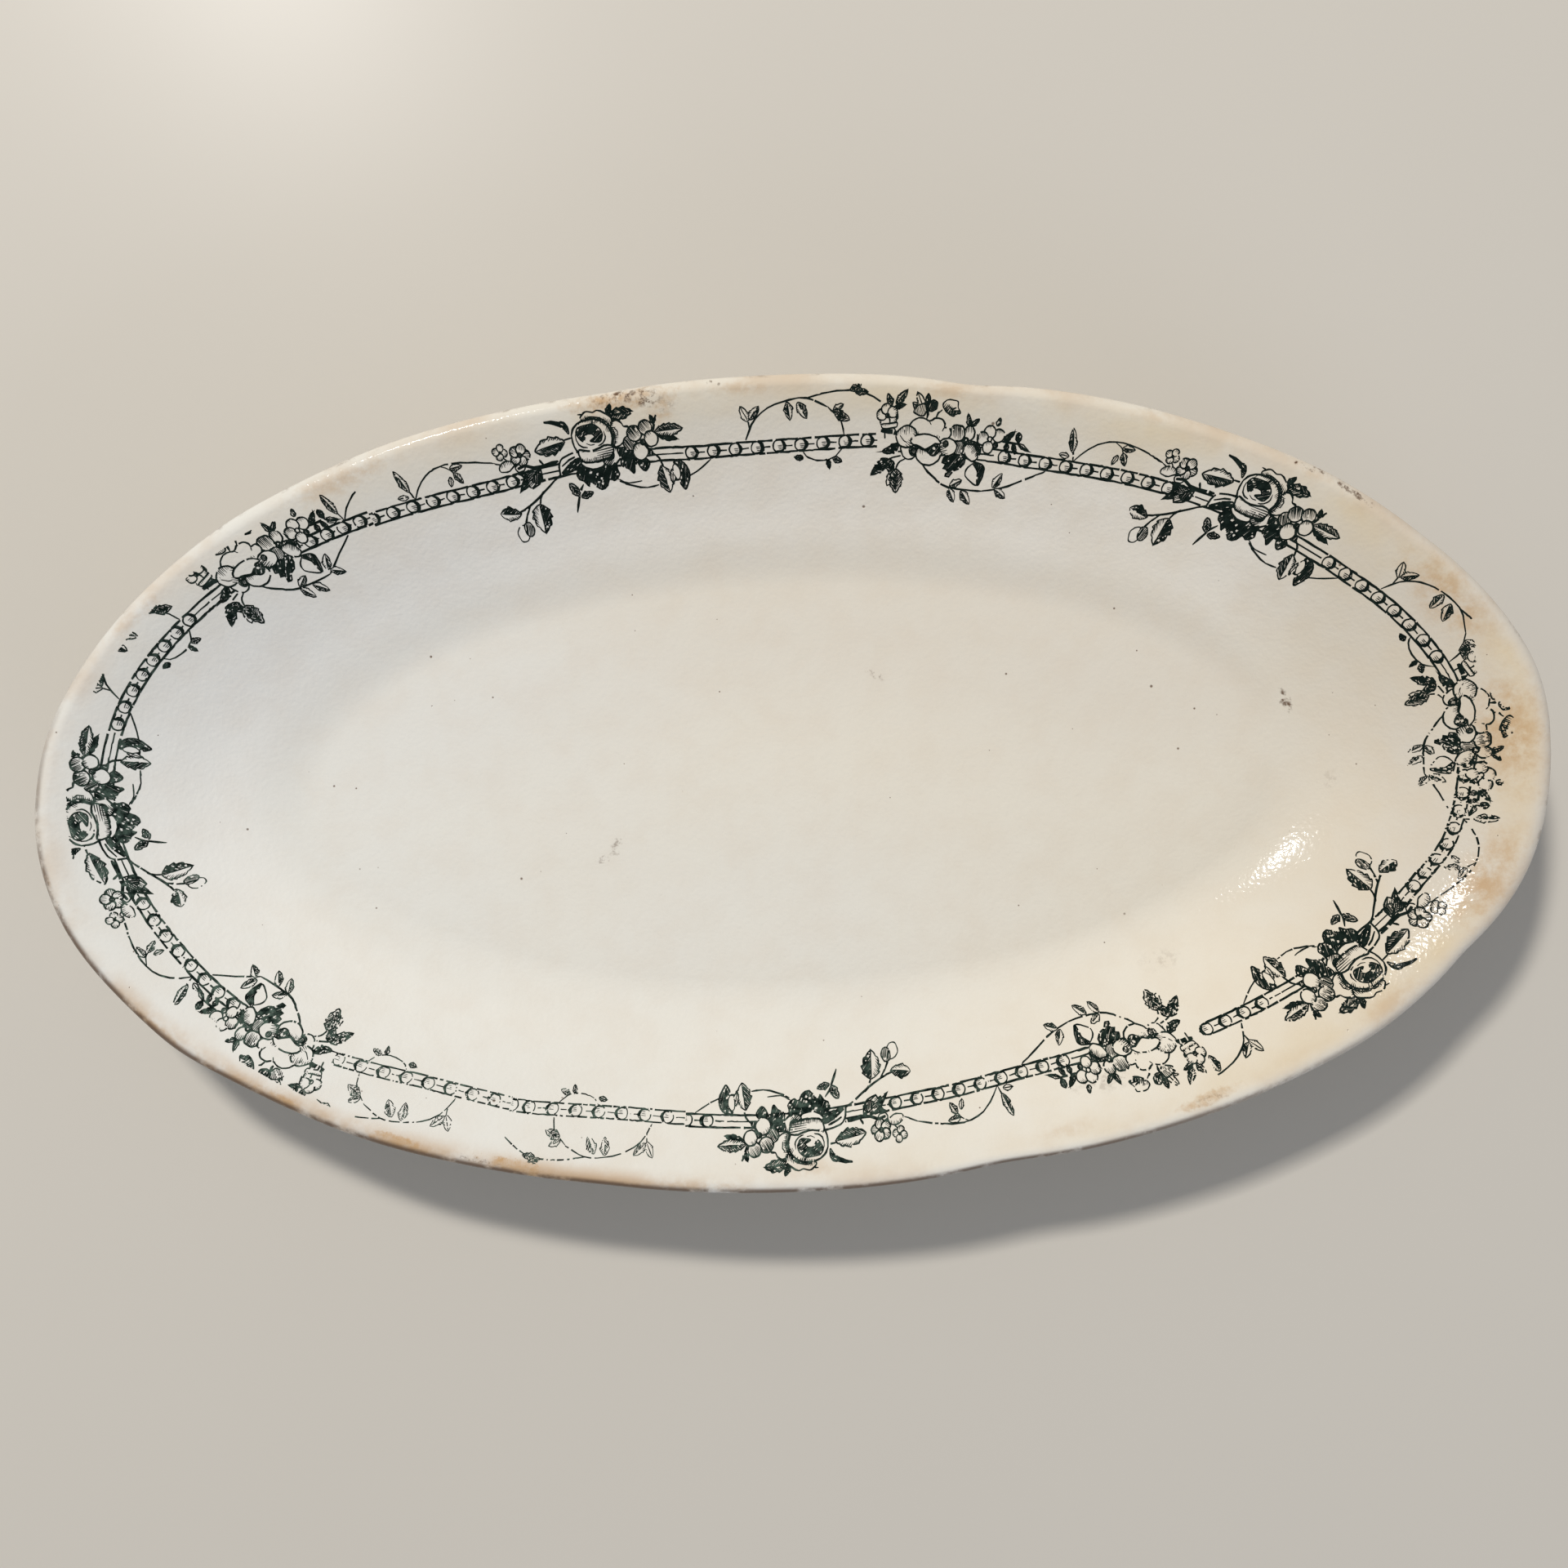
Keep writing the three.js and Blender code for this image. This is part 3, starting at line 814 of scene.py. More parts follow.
    # petals of the poppy, back to front
    p.shape(
        [(-10.6, 9.4), (-10.2, 8.4), (-9.4, 7.7), (-8, 7.4), (-6.6, 7.9), (-5.6, 7.3), (-4.3, 7.4),
         (-3.6, 8.2), (-3.5, 8.8), (-2.6, 8.8), (-2.1, 9.8), (-2.8, 10.7), (-4.2, 11.2), (-6, 11), (-8, 11),
         (-10, 10.6)],
        0.34,
    )
    inner = p.place(
        [(-9.6, 9), (-8, 9.6), (-6.4, 9.9), (-4.8, 9.8), (-4.2, 10.6), (-6.2, 10.7), (-8.4, 10.8),
         (-9.8, 10.3)],
    )
    p.hatch(flow(inner, closed=True), 0.32, 0.18, 95, end=0.6)
    p.line([(-6.6, 7.9), (-6.2, 8.5)], 0.24)
    p.line([(-3.6, 8.8), (-3.9, 9.5)], 0.24)
    p.tinted(
        [(-4.1, 11.5), (-3.3, 10.7), (-1.8, 10.7), (-0.7, 11.6), (-0.9, 12.9), (-2.2, 13.6), (-3.5, 13.2)],
        0.32, 0.32, 0.18, 20, end=0.35,
    )
    p.dot(-2.9, 11.6, 0.5)
    p.tinted(
        [(-11.6, 12.4), (-11.4, 13.8), (-10.4, 14.6), (-9.2, 14.5), (-8.5, 13.4), (-9.2, 12.2)],
        0.32, 0.32, 0.2, 40, start=0.6,
    )
    p.shadow([(-10, 12.9), (-9.3, 12.5), (-8.7, 13.2), (-9.1, 13.9), (-9.8, 13.7)])
    p.tinted(
        [(-8.7, 13.3), (-8, 12.5), (-5.4, 12.2), (-3.9, 12.9), (-3.8, 14.2), (-5, 15.3), (-6.8, 15.4),
         (-8.2, 14.6)],
        0.34, 0.34, 0.15, 92, start=0.6,
    )
    p.black([(-6.4, 13), (-5.6, 11.8), (-4.5, 11.9), (-4.1, 13), (-5.2, 13.8)], 0.24, 60)
    p.ring(-5.1, 12.5, 0.22, 0)
    p.dot(-9, 13.2, 0.5)
    rim = p.tinted(
        [(-12.9, 10.9), (-12.4, 9.7), (-11, 8.9), (-9.6, 9.2), (-8.8, 10.3), (-8.9, 11.8), (-10.2, 12.6),
         (-12, 12.4)],
        0.34, 0.34, 0.17, 95, start=0.66,
    )
    p.hatch(rim, 0.34, 0.15, 150, end=0.3)
    p.line([(-12.2, 10.6), (-11.4, 11.4), (-10.6, 11.8)], 0.18)
    p.shape(
        [(-9.9, 11.3), (-9, 10.5), (-7.6, 10.2), (-5.8, 10.3), (-4.6, 10.8), (-4, 11.6), (-5, 11.7),
         (-5.7, 12.2), (-6.9, 12.8), (-8, 12.3), (-9.5, 12)],
        0.34,
    )
    p.line([(-9.4, 12.1), (-8, 12.5), (-6.8, 12.9), (-5.9, 12.4)], 0.5)
    return p


# ---------------------------------------------------------------------------------------------------------
# The border, drawn strip by strip. Places along the dish are millimetres clockwise round an oval that lies
# STUDY_INSET in from the rim, from the clean cut at the back, and levels are millimetres in from the rim.

STUDY_INSET = 14.0
STUDY_SCALE = 0.994
CUT_TURN = 81.2
RAIL = 1.08
NEEDLE = 0.4
SHORT_LOOP = 14  # a loop of vine no longer than this has no branch
LEAFY_LOOP = 22  # and one no longer than this has no leaves on its branch
LIP_CLEAR = 2.3  # no ink nearer the rim than this
EDGE_CLEAR = 0.0006  # metres in from the rim, the nearest place whose height the print takes

STRIPS = {
    "print_strip_right": dict(
        start=0, end=221, rails=(4, 218), wear=0.01, poor=((152, 17, 0.2), (200, 14, 0.05)),
        level=((0, 12.6), (20, 12.9), (30, 13.1), (40, 12.8), (50, 12.3), (60, 12), (75, 11.9), (90, 12.1),
               (100, 12), (110, 11.3), (120, 10.6), (126, 10.2), (133, 10.4), (140, 10.9), (150, 10.8),
               (157, 10.7), (161, 11.2), (166, 12), (180, 12.6), (200, 13.1), (221, 13.5)),
        beads=((25.3, 4.17, 9), (94.0, 3.94, 8), (144.5, 3.33, 8), (206, 4.1, 4)),
        poppies=((16.3, "long"), (139.2, "short")), roses=(72.2, 183.8),
        arches=(39, 152.5), loops=((105, 17), (211.8, 8)),
    ),
    "print_strip_front": dict(
        start=221, end=326, rails=(226, 326), wear=0.02, poor=((228, 9, 0.1),),
        level=((221, 15.3), (232, 15.9), (240, 16.4), (250, 16.4), (257, 16.3), (265, 15.8), (270, 15.4),
               (280, 14.9), (290, 14.1), (300, 13.3), (310, 12.8), (326, 12.8)),
        beads=((247.7, 4.44, 9), (321.5, 4.2, 2)),
        poppies=((238, "long"),), roses=(298.5,), arches=(262.3,),
    ),
    "print_filler_front": dict(
        start=326, end=361, rails=(325, 361), wear=0.05, poor=((350, 14, 0.07),), press=0.76,
        level=((326, 13.1), (335, 13.2), (342, 13.0), (350, 12.5), (357, 11.9), (361, 11.7)),
        beads=((329.5, 4.62, 7), (360.6, 4.6, 1)),
        loops=((332.5, 28),),
    ),
    "print_filler_front_left": dict(
        start=361, end=397, rails=(360.6, 396.4), wear=0.06, press=0.74,
        poor=((366, 10, 0.1), (392, 6, 0.08)),
        level=((361, 11.9), (372, 12.0), (380, 11.8), (387, 11.2), (397, 10.3)),
        beads=((364.3, 4.53, 8),),
        loops=((371.8, 24),),
    ),
    "print_strip_left": dict(
        start=397, end=541, rails=(402, 541), wear=0.02, poor=((400, 8, 0.1), (437, 9, 0.06)),
        level=((397, 10), (406, 9.8), (415, 9.7), (425, 10), (433, 10.4), (443, 10.4), (452, 10.1),
               (460, 9.4), (470, 8.5), (480, 8.1), (488, 7.9), (500, 8), (508, 8), (520, 8.4), (530, 9.3),
               (541, 10)),
        beads=((419, 3.68, 9), (478, 3.3, 8), (528.5, 3.4, 4)),
        poppies=((413, "short"), (522.3, "short")), roses=(458.3,),
        arches=(428.3, 536.3), loops=((482.3, 21),),
    ),
    "print_strip_back": dict(
        start=541, end=643.75, rails=(541, 643.5), wear=0.01,
        level=((541, 10.4), (550, 11.1), (560, 11.9), (567, 12.2), (577, 12.2), (587, 12.2), (600, 12.5),
               (607, 13), (620, 13), (630, 12.7), (643.75, 11.9)),
        beads=((541.2, 4.06, 8), (606, 4.41, 9)),
        roses=(584.3,), arches=(550.5,), loops=((617.2, 25.5),),
    ),
}


class Path:
    """The way a strip's band runs round the dish, by length along the band."""

    def __init__(self, size, level):
        a = size.length / 2 / MM - STUDY_INSET * size.end_reach / size.side_reach
        b = size.width / 2 / MM - STUDY_INSET
        turn = np.radians(CUT_TURN) - np.linspace(-0.2, 2 * math.pi + 0.2, 20001)
        oval = np.stack([a * np.cos(turn), b * np.sin(turn)], 1)
        reach = np.r_[0, np.cumsum(np.hypot(*np.diff(oval, axis=0).T))]
        self.place = reach - np.interp(-np.radians(CUT_TURN), -turn, reach)
        self.oval = oval * STUDY_SCALE
        out = np.stack([b * np.cos(turn), a * np.sin(turn)], 1)
        self.out = out / np.linalg.norm(out, axis=1, keepdims=True)
        knots, levels = np.array(level, float).T
        rise = STUDY_INSET - np.interp(self.place, knots, levels)
        grain = self.place[1] - self.place[0]
        blur = np.exp(-np.linspace(-2, 2, int(8 / grain)) ** 2)
        self.rise = np.convolve(np.pad(rise, len(blur) // 2, mode="edge"), blur / blur.sum(), mode="same")
        self.rise = self.rise[len(blur) // 2 :][: len(rise)]
        band = self.oval + self.out * self.rise[:, None]
        self.reach = np.r_[0, np.cumsum(np.hypot(*np.diff(band, axis=0).T))]

    def along(self, place):
        """Length along the band at a place round the study oval."""
        return np.interp(place, self.place, self.reach)

    def inset(self, points):
        """Distance in from the rim of drawn points."""
        return STUDY_INSET - np.interp(points[:, 0], self.reach, self.rise) - points[:, 1]

    def on_dish(self, points):
        """Plan positions in metres of drawn points."""
        x, y = points[:, 0], points[:, 1]
        off = np.interp(x, self.reach, self.rise) + y
        oval_x, oval_y = (np.interp(x, self.reach, v) for v in self.oval.T)
        out_x, out_y = (np.interp(x, self.reach, v) for v in self.out.T)
        return np.stack([oval_x + out_x * off, oval_y + out_y * off], 1) * MM


def inset_at(size, plan):
    """Distance in from the rim of points in plan, by closing in on the oval that passes through each."""
    low, high = np.full(len(plan), 0.0), np.full(len(plan), size.side_reach)
    for _ in range(26):
        middle = (low + high) / 2
        along = size.length / 2 - middle * size.end_reach / size.side_reach
        across = size.width / 2 - middle
        outside = (plan[:, 0] / along) ** 2 + (plan[:, 1] / across) ** 2 > 1
        high = np.where(outside, middle, high)
        low = np.where(outside, low, middle)
    turn = np.arctan2(plan[:, 1] / across, plan[:, 0] / along)
    return middle - dent_depth(turn) * np.clip(1 - middle / size.dent_fade, 0, 1) ** 2


def draw_band(sheet, first, last, beads):
    """Two rails with a chain of round beads between them."""
    for side, width in ((RAIL, NEEDLE), (-RAIL, NEEDLE), (0, 0.26)):
        sheet.line([(x, side) for x in np.arange(first, last, 2.0)] + [(last, side)], width, taper=0)
    for x in beads:
        sheet.ring(x, 0, 1.5, 0, squash=0.72)
        sheet.ring(x, 0, 1.06, 0.3)
        sheet.line([(x + 0.85, -0.95), (x + 1.5, -0.1), (x + 1.5, 0.1), (x + 0.85, 0.95)], 0.26, 0)
        vine(sheet, x, [(0.75, -0.85), (1.2, -0.25), (1.2, 0.3), (0.7, 0.9)], 0.7)
        vine(sheet, x, [(-0.5, 0.85), (0.3, 0.95), (0.9, 0.7)], 0.42)
        for down in (-0.1, 0.2, 0.5):
            sheet.line([(x - 0.1 + 0.3 * down, down), (x + 0.85 - 0.3 * down, down)], 0.18)


def draw_arch(sheet, x):
    """Vine that leaves the band, with a leaf at its root, and arches over to the next rose."""
    vine(sheet, x, [(0, -1.2), (-0.5, -3), (-1, -4.4)], 0.34)
    sheet.leaf((x - 0.5, -2.6), (x - 1.6, -6.8), 0.75, 2, (0.5, 0.9), width=0.24)
    sheet.leaf((x - 1.0, -1.8), (x - 3.0, -2.0), 0.5, 2, (0.4, 0), width=0.2)
    vine(sheet, x, [(0.1, -1.2), (2, -3.3), (4.5, -5), (8, -5.7), (12.5, -5.1), (17, -3.9)], 0.32)
    vine(sheet, x, [(17, -3.9), (19.5, -2.6)], 0.3)
    vine(sheet, x, [(7, -5.6), (8.4, -4.8), (9.2, -3.6)], 0.26)
    vine_leaves(sheet, x, ((8.6, -4.8, -2, 2.4, (0.7, 0.3)), (9, -4, 62, 2.4, (0.8, 0.6))))
    vine_leaves(sheet, x, ((8.2, -3.4, 110, 1.8, (0.5, 0.2)),))


def draw_loop(sheet, x, reach):
    """Vine that loops up off the band and back, with a branch running on above as far as it reaches."""
    vine(sheet, x, [(0, -1.4), (1.6, -4.4), (4.5, -6.6), (8.5, -7.8), (12.3, -7.9), (16.2, -6.2)], 0.34)
    vine(sheet, x, [(16.2, -6.2), (18.8, -3.7), (19.6, -1.2)], 0.3)
    if reach > SHORT_LOOP:
        branch = ((11.8, -7.9), (17, -8.8), (21.5, -8.7), (24.6, -7.7), (28, -5.7))
        vine(sheet, x, [point for point in branch if point[0] <= reach + 3], 0.34)
    if reach > LEAFY_LOOP:
        vine_leaves(sheet, x, ((20.5, -8.8, -25, 2.3, (0.9, 0.9)), (21.5, -8.6, 5, 2.4, (1, 0.9))))
    vine(sheet, x, [(0.9, -3), (0.6, -5)], 0.34)
    leaves = (
        (0.7, -4.6, -118, 3, (0.5, 0.3)),
        (0.9, -4.9, -48, 3, (0.9, 0.4)),
        (8.4, -7.5, 82, 3.2, (0.9, 0.5)),
        (10.4, -7.3, 58, 3.4, (0.4, 0.9)),
        (17.3, -5.4, -28, 2.3, (0.8, 0.4)),
        (17.6, -5, 24, 3.2, (0.9, 0.7)),
    )
    vine_leaves(sheet, x, leaves)
    vine(sheet, x, [(11.4, 1.3), (12.4, 2.3), (15, 3), (17.6, 2.6), (19.2, 1.2)], 0.3)
    vine_leaves(sheet, x, ((11.4, 2.4, 190, 1.7, (1, 1)), (16.4, 2.9, 75, 1.6, (1, 1))))
    vine_leaves(sheet, x, ((17.4, 2.8, 18, 2, (0.9, 0.8)),))


def stamp(sheet, spray, x):
    """A finished spray is laid over what the sheet already holds."""
    for cover in spray.covers:
        sheet.rub_out(cover + (x, 0))
    sheet.strokes += [(line + (x, 0), width) for line, width in spray.strokes]


def wear_ink(sheet, amount, poor, seed):
    """Short gaps where the ink didn't take, many more of them in a poor stretch (place, reach, amount)."""
    hand = random.Random(seed)

    def printed(line):
        count = len(line)
        keep = np.ones(count, bool)
        here = line[count // 2, 0]
        gaps = amount + sum(more * math.exp(-(((here - place) / reach) ** 2)) for place, reach, more in poor)
        chances = gaps * count * 0.5
        for _ in range(int(chances) + (hand.random() < chances % 1)):
            at = hand.randrange(count)
            keep[at : at + hand.randrange(1, 5)] = False
        return keep

    sheet.keep(printed)


def draw_strip(name, path, sprays):
    """Everything printed by one strip, by length along its band."""
    facts = STRIPS[name]
    sheet = Sheet(seed=len(name))
    first, last = path.along(facts["rails"][0]), path.along(facts["rails"][1])
    beads = [path.along(start + pitch * i) for start, pitch, count in facts["beads"] for i in range(count)]
    draw_band(sheet, first, last, beads)
    for place in facts.get("arches", ()):
        draw_arch(sheet, path.along(place))
    for place, reach in facts.get("loops", ()):
        draw_loop(sheet, path.along(place), reach)
    sheet.trim(path.along(facts["start"]), path.along(facts["end"]))
    for place, kind in facts.get("poppies", ()):
        stamp(sheet, sprays["poppy " + kind], path.along(place))
    for place in facts.get("roses", ()):
        stamp(sheet, sprays["rose"], path.along(place))
    poor = [(path.along(place), reach, more) for place, reach, more in facts.get("poor", ())]
    wear_ink(sheet, facts["wear"], poor, seed=len(name) + 3)
    sheet.keep(lambda line: path.inset(line) > LIP_CLEAR)
    sheet.strokes = [(line, width * facts.get("press", 1.0)) for line, width in sheet.strokes]
    return sheet


def key_points(line):
    """The fewest points that keep a stroke's bends and its swelling."""
    heading = np.unwrap(np.arctan2(*np.diff(line, axis=0).T[::-1]))
    kept, last = [0], 0
    for i in range(1, len(line) - 1):
        near_end = i == 2 or i == len(line) - 3
        if near_end or abs(heading[i] - heading[last]) > BEND or (i - last) * STEP > LONGEST:
            kept.append(i)
            last = i
    kept.append(len(line) - 1)
    return kept


def ink_mesh(name, strokes, nib):
    """Strokes as flat ribbons: curves drawn with a flat nib, then made a mesh."""
    curve = bpy.data.curves.new(name, "CURVE")
    curve.dimensions = "2D"
    curve.fill_mode = "NONE"
    curve.bevel_mode = "OBJECT"
    curve.bevel_object = nib
    for line, width in strokes:
        kept = key_points(line)
        points = line[kept]
        spline = curve.splines.new("POLY")
        spline.points.add(len(kept) - 1)
        spline.points.foreach_set("co", np.c_[points * MM, np.zeros(len(kept)), np.ones(len(kept))].ravel())
        spline.points.foreach_set("radius", width[kept] * MM)
    drawn = bpy.data.objects.new(name, curve)
    bpy.context.scene.collection.objects.link(drawn)
    bpy.context.view_layer.update()
    solid = drawn.evaluated_get(bpy.context.evaluated_depsgraph_get())
    mesh = bpy.data.meshes.new_from_object(solid)
    bpy.data.objects.remove(drawn)
    bpy.data.curves.remove(curve)
    mesh.name = name
    return mesh


def make_print(size, colours):
    """Each strip is drawn flat, then every point is laid on the side of the dish."""
    sprays = {"rose": rose_spray(), "poppy long": poppy_spray(17.9), "poppy short": poppy_spray(13.6)}
    nib_curve = bpy.data.curves.new("nib", "CURVE")
    nib_curve.dimensions = "2D"
    edge = nib_curve.splines.new("POLY")
    edge.points.add(1)
    edge.points[0].co = (-0.5, 0, 0, 1)
    edge.points[1].co = (0.5, 0, 0, 1)
    nib = bpy.data.objects.new("nib", nib_curve)
    bpy.context.scene.collection.objects.link(nib)
    material = ink_material(colours)
    for name, facts in STRIPS.items():
        path = Path(size, facts["level"])
        sheet = draw_strip(name, path, sprays)
        mesh = ink_mesh(name + "_ink", sheet.strokes, nib)
        flat = corner_points(mesh)
        plan = path.on_dish(flat[:, :2] / MM)
        inset = np.clip(inset_at(size, plan), EDGE_CLEAR, None)
        height = np.minimum(side_height(size, inset)[0] + size.print_lift, size.height)
        move_points(mesh, np.c_[plan, height])
        mesh.shade_smooth()
        new_piece(name + "_ink", mesh, material, name)
    bpy.data.objects.remove(nib)
    bpy.data.curves.remove(nib_curve)


# ---------------------------------------------------------------------------------------------------------
# Finishes

NUMBER = "NodeSocketFloat"


class Value:
    """A number or colour that nodes work out. Sums and products of it are worked out by nodes too."""

    def __init__(self, nodes, socket):
        self.nodes = nodes
        self.socket = socket

    def __add__(self, other):
        return self.nodes.math("ADD", self, other)

    def __sub__(self, other):
        return self.nodes.math("SUBTRACT", self, other)

    def __mul__(self, other):
        return self.nodes.math("MULTIPLY", self, other)

    def __truediv__(self, other):
        return self.nodes.math("DIVIDE", self, other)

    def __pow__(self, other):
        return self.nodes.math("POWER", self, other)

    def over(self, other):
        """The larger of the two."""
        return self.nodes.math("MAXIMUM", self, other)

    def beside(self, name):
        """Another output of the same node."""
        return Value(self.nodes, self.socket.node.outputs[name])


class Nodes:
    """Adds nodes to a tree. An input is a plain value or a Value."""

    def __init__(self, tree):
        self.tree = tree

    def set(self, socket, value):
        if isinstance(value, Value):
            self.tree.links.new(value.socket, socket)
        else:
            socket.default_value = value

    def add(self, kind, inputs=None, take=0, **settings):
        """One output of a new node."""
        node = self.tree.nodes.new(kind)
        for key, setting in settings.items():
            setattr(node, key, setting)
        for key, value in (inputs or {}).items():
            self.set(node.inputs[key], value)
        return Value(self, node.outputs[take])

    def math(self, operation, *values):
        return self.add("ShaderNodeMath", dict(enumerate(values)), operation=operation)

    def mix(self, share, first, second):
        """The first colour, with a share of the second."""
        first, second = (v if isinstance(v, Value) else (*v, 1) for v in (first, second))
        return self.add("ShaderNodeMix", {0: share, 6: first, 7: second}, take=2, data_type="RGBA")

    def noise(self, place, scale, detail=2.0, rough=0.5):
        inputs = {"Vector": place, "Scale": scale, "Detail": detail, "Roughness": rough}
        return self.add("ShaderNodeTexNoise", inputs, take="Fac")

    def ramp(self, value, low, high):
        """0 below low, 1 above high, smooth between them. Low may be the larger."""
        inputs = {"Value": value, "From Min": low, "From Max": high}
        return self.add("ShaderNodeMapRange", inputs, interpolation_type="SMOOTHSTEP")

    def place(self):
        return self.add("ShaderNodeTexCoord", take="Object")

    def split(self, value, kind="XYZ"):
        """The three numbers of a place or a colour."""
        node = self.add("ShaderNodeSeparate" + kind, {0: value}).socket.node
        return [Value(self, socket) for socket in node.outputs]


def new_group(name, inputs, outputs):
    """A shader node group with only its sockets: the nodes, what it is given and where its results go."""
    tree = bpy.data.node_groups.new(name, "ShaderNodeTree")
    n = Nodes(tree)
    for label, kind, default in inputs:
        tree.interface.new_socket(label, in_out="INPUT", socket_type=kind).default_value = default
    for label in outputs:
        tree.interface.new_socket(label, in_out="OUTPUT", socket_type=NUMBER)
    sockets = tree.nodes.new("NodeGroupInput").outputs
    given = {label: Value(n, sockets[label]) for label, _, _ in inputs}
    return n, given, tree.nodes.new("NodeGroupOutput").inputs


def spot_group():
    """A soft oval spot with a ragged edge."""
    inputs = (
        ("Place", "NodeSocketVector", (0, 0, 0)),
        ("Length", NUMBER, 0.01),
        ("Width", NUMBER, 0.005),
        ("Turn", NUMBER, 0.0),
        ("Ragged", NUMBER, 0.3),
        ("Softness", NUMBER, 0.5),
    )
    n, given, result = new_group("Stain spot", inputs, ("Mask",))
    here = n.place()
    away = n.add("ShaderNodeVectorMath", {0: here, 1: given["Place"]}, operation="SUBTRACT")
    back = {"Vector": away, "Angle": given["Turn"] * -1}
    along, across, _ = n.split(n.add("ShaderNodeVectorRotate", back, rotation_type="Z_AXIS"))
    reach = n.math("SQRT", (along / given["Length"]) ** 2 + (across / given["Width"]) ** 2)
    ragged = (n.noise(here, 900, 4, 0.65) - 0.5) * (given["Ragged"] * 4) + reach
    n.set(result["Mask"], n.ramp(ragged, 1.0, given["Softness"] * -1 + 1))
    return n.tree


def glaze_surface_group():
    """The unevenness of a hand-dipped glaze: orange peel over slow waves, with pinholes."""
    inputs = (("Peel", NUMBER, 1.0), ("Waves", NUMBER, 1.0), ("Pinhole density", NUMBER, 230.0))
    n, given, result = new_group("Glaze surface", inputs, ("Height", "Pinholes"))
    here = n.place()
    cells = {"Vector": here, "Scale": given["Pinhole density"], "Randomness": 1.0}
    away = n.add("ShaderNodeTexVoronoi", cells, take="Distance")
    chance, bore, _ = n.split(away.beside("Color"), "Color")
    size = bore**3 * 0.07 + 0.036
    holes = n.ramp(away, size, size * 0.4) * n.math("GREATER_THAN", chance, 0.62)
    peel = n.noise(here, 1050, 1) * given["Peel"]
    slow = n.noise(here, 75) * (given["Waves"] * 4)
    n.set(result["Height"], peel + slow + holes * -1.5)
    n.set(result["Pinholes"], holes)
    return n.tree


def shared_group(make, name):
    """A node group that several finishes use is built once."""
    return bpy.data.node_groups.get(name) or make()


def new_material(name):
    material = bpy.data.materials.new(name)
    material.use_nodes = True
    return material, Nodes(material.node_tree), material.node_tree.nodes["Principled BSDF"].inputs


def glaze_bump(n, shader):
    """The glaze's unevenness, which runs on over the print. Gives back where the pinholes are."""
    group = shared_group(glaze_surface_group, "Glaze surface")
    height = n.add("ShaderNodeGroup", {"Peel": PEEL, "Waves": WAVES}, take="Height", node_tree=group)
    bump = {"Strength": 1.0, "Distance": BUMP_DEPTH, "Height": height}
    n.set(shader["Normal"], n.add("ShaderNodeBump", bump))
    n.set(shader["IOR"], GLAZE_IOR)
    return height.beside("Pinholes")


def stain(n, place, length, width, turn, ragged, soft, strength):
    """One stain, with its sizes in millimetres and its turn from +X in radians."""
    sizes = ((*place, 0), length * MM, width * MM, turn, ragged, soft)
    group = shared_group(spot_group, "Stain spot")
    return n.add("ShaderNodeGroup", dict(enumerate(sizes)), node_tree=group) * strength


def rim_stains(n, size, table):
    """The darkest, at each place, of a table of stains placed by their turn and distance in from the rim."""
    found = []
    for turn, inset, length, width, tilt, *rest in table:
        spin = math.radians(turn)
        place = plan_point(size, np.array([spin]), np.array([inset * MM]))[0]
        way = math.atan2(size.width * math.cos(spin), -size.length * math.sin(spin))
        found.append(stain(n, place, length, width, way + math.radians(tilt), *rest))
    return functools.reduce(Value.over, found)


# turn, distance in, half length, half width, tilt from the rim's direction, ragged edge, softness, strength
TAN_SPOTS = (
    (76, 2.2, 13, 2.6, 0, 0.2, 0.9, 0.45),
    (60, 1.8, 9, 2, 0, 0.2, 0.9, 0.3),
    (45, 1.5, 8, 2.2, 0, 0.2, 0.9, 0.35),
    (24, 5, 18, 7, 0, 0.15, 0.95, 0.7),
    (3, 6, 18, 9, 0, 0.15, 0.95, 0.8),
    (341, 5, 18, 7, 0, 0.15, 0.95, 0.75),
    (322, 3, 12, 3.5, 0, 0.2, 0.95, 0.4),
    (303, 3.2, 8, 1.5, 0, 0.3, 0.5, 0.6),
    (291, 5, 8, 2, 0, 0.2, 0.9, 0.25),
    (270, 4.5, 8, 3, 0, 0.15, 0.95, 0.3),
    (247, 1.9, 10, 1.9, 0, 0.35, 0.6, 0.95),
    (237, 1.7, 9, 1.6, 0, 0.35, 0.6, 0.85),
    (226, 1.2, 12, 1.7, 0, 0.3, 0.8, 0.8),
    (212, 0.9, 10, 1.5, 0, 0.2, 0.8, 0.7),
    (262, 1.4, 12, 1.5, 0, 0.3, 0.8, 0.5),
    (190, 0.8, 12, 1.4, 0, 0.2, 0.9, 0.6),
    (150, 2.4, 16, 2.8, 0, 0.2, 0.9, 0.4),
    (126, 3, 16, 3.4, 0, 0.2, 0.9, 0.5),
    (102, 2.2, 14, 2.8, 0, 0.3, 0.9, 0.9),
    (99, 4.6, 5, 3, 30, 0.3, 0.9, 0.7),
    (92, 2.6, 12, 2.6, 0, 0.2, 0.9, 0.45),
)
BROWN_SPOTS = (
    (101.8, 1.8, 8, 1.8, 0, 0.3, 0.8, 1),
    (100, 3, 4, 2, -10, 0.3, 0.8, 1),
    (98.6, 5, 2.2, 1.4, 30, 0.3, 0.9, 0.45),
    (45.5, 1, 4.6, 0.8, 8, 0.4, 0.4, 1),
    (40.5, 1.3, 5, 0.8, -6, 0.5, 0.5, 0.9),
    (95, 1, 0.7, 0.6, 0, 0.2, 0.4, 1),
    (303, 3, 5, 1, 0, 0.4, 0.7, 0.5),
    (244, 1.6, 7, 0.9, 0, 0.4, 0.7, 0.6),
)

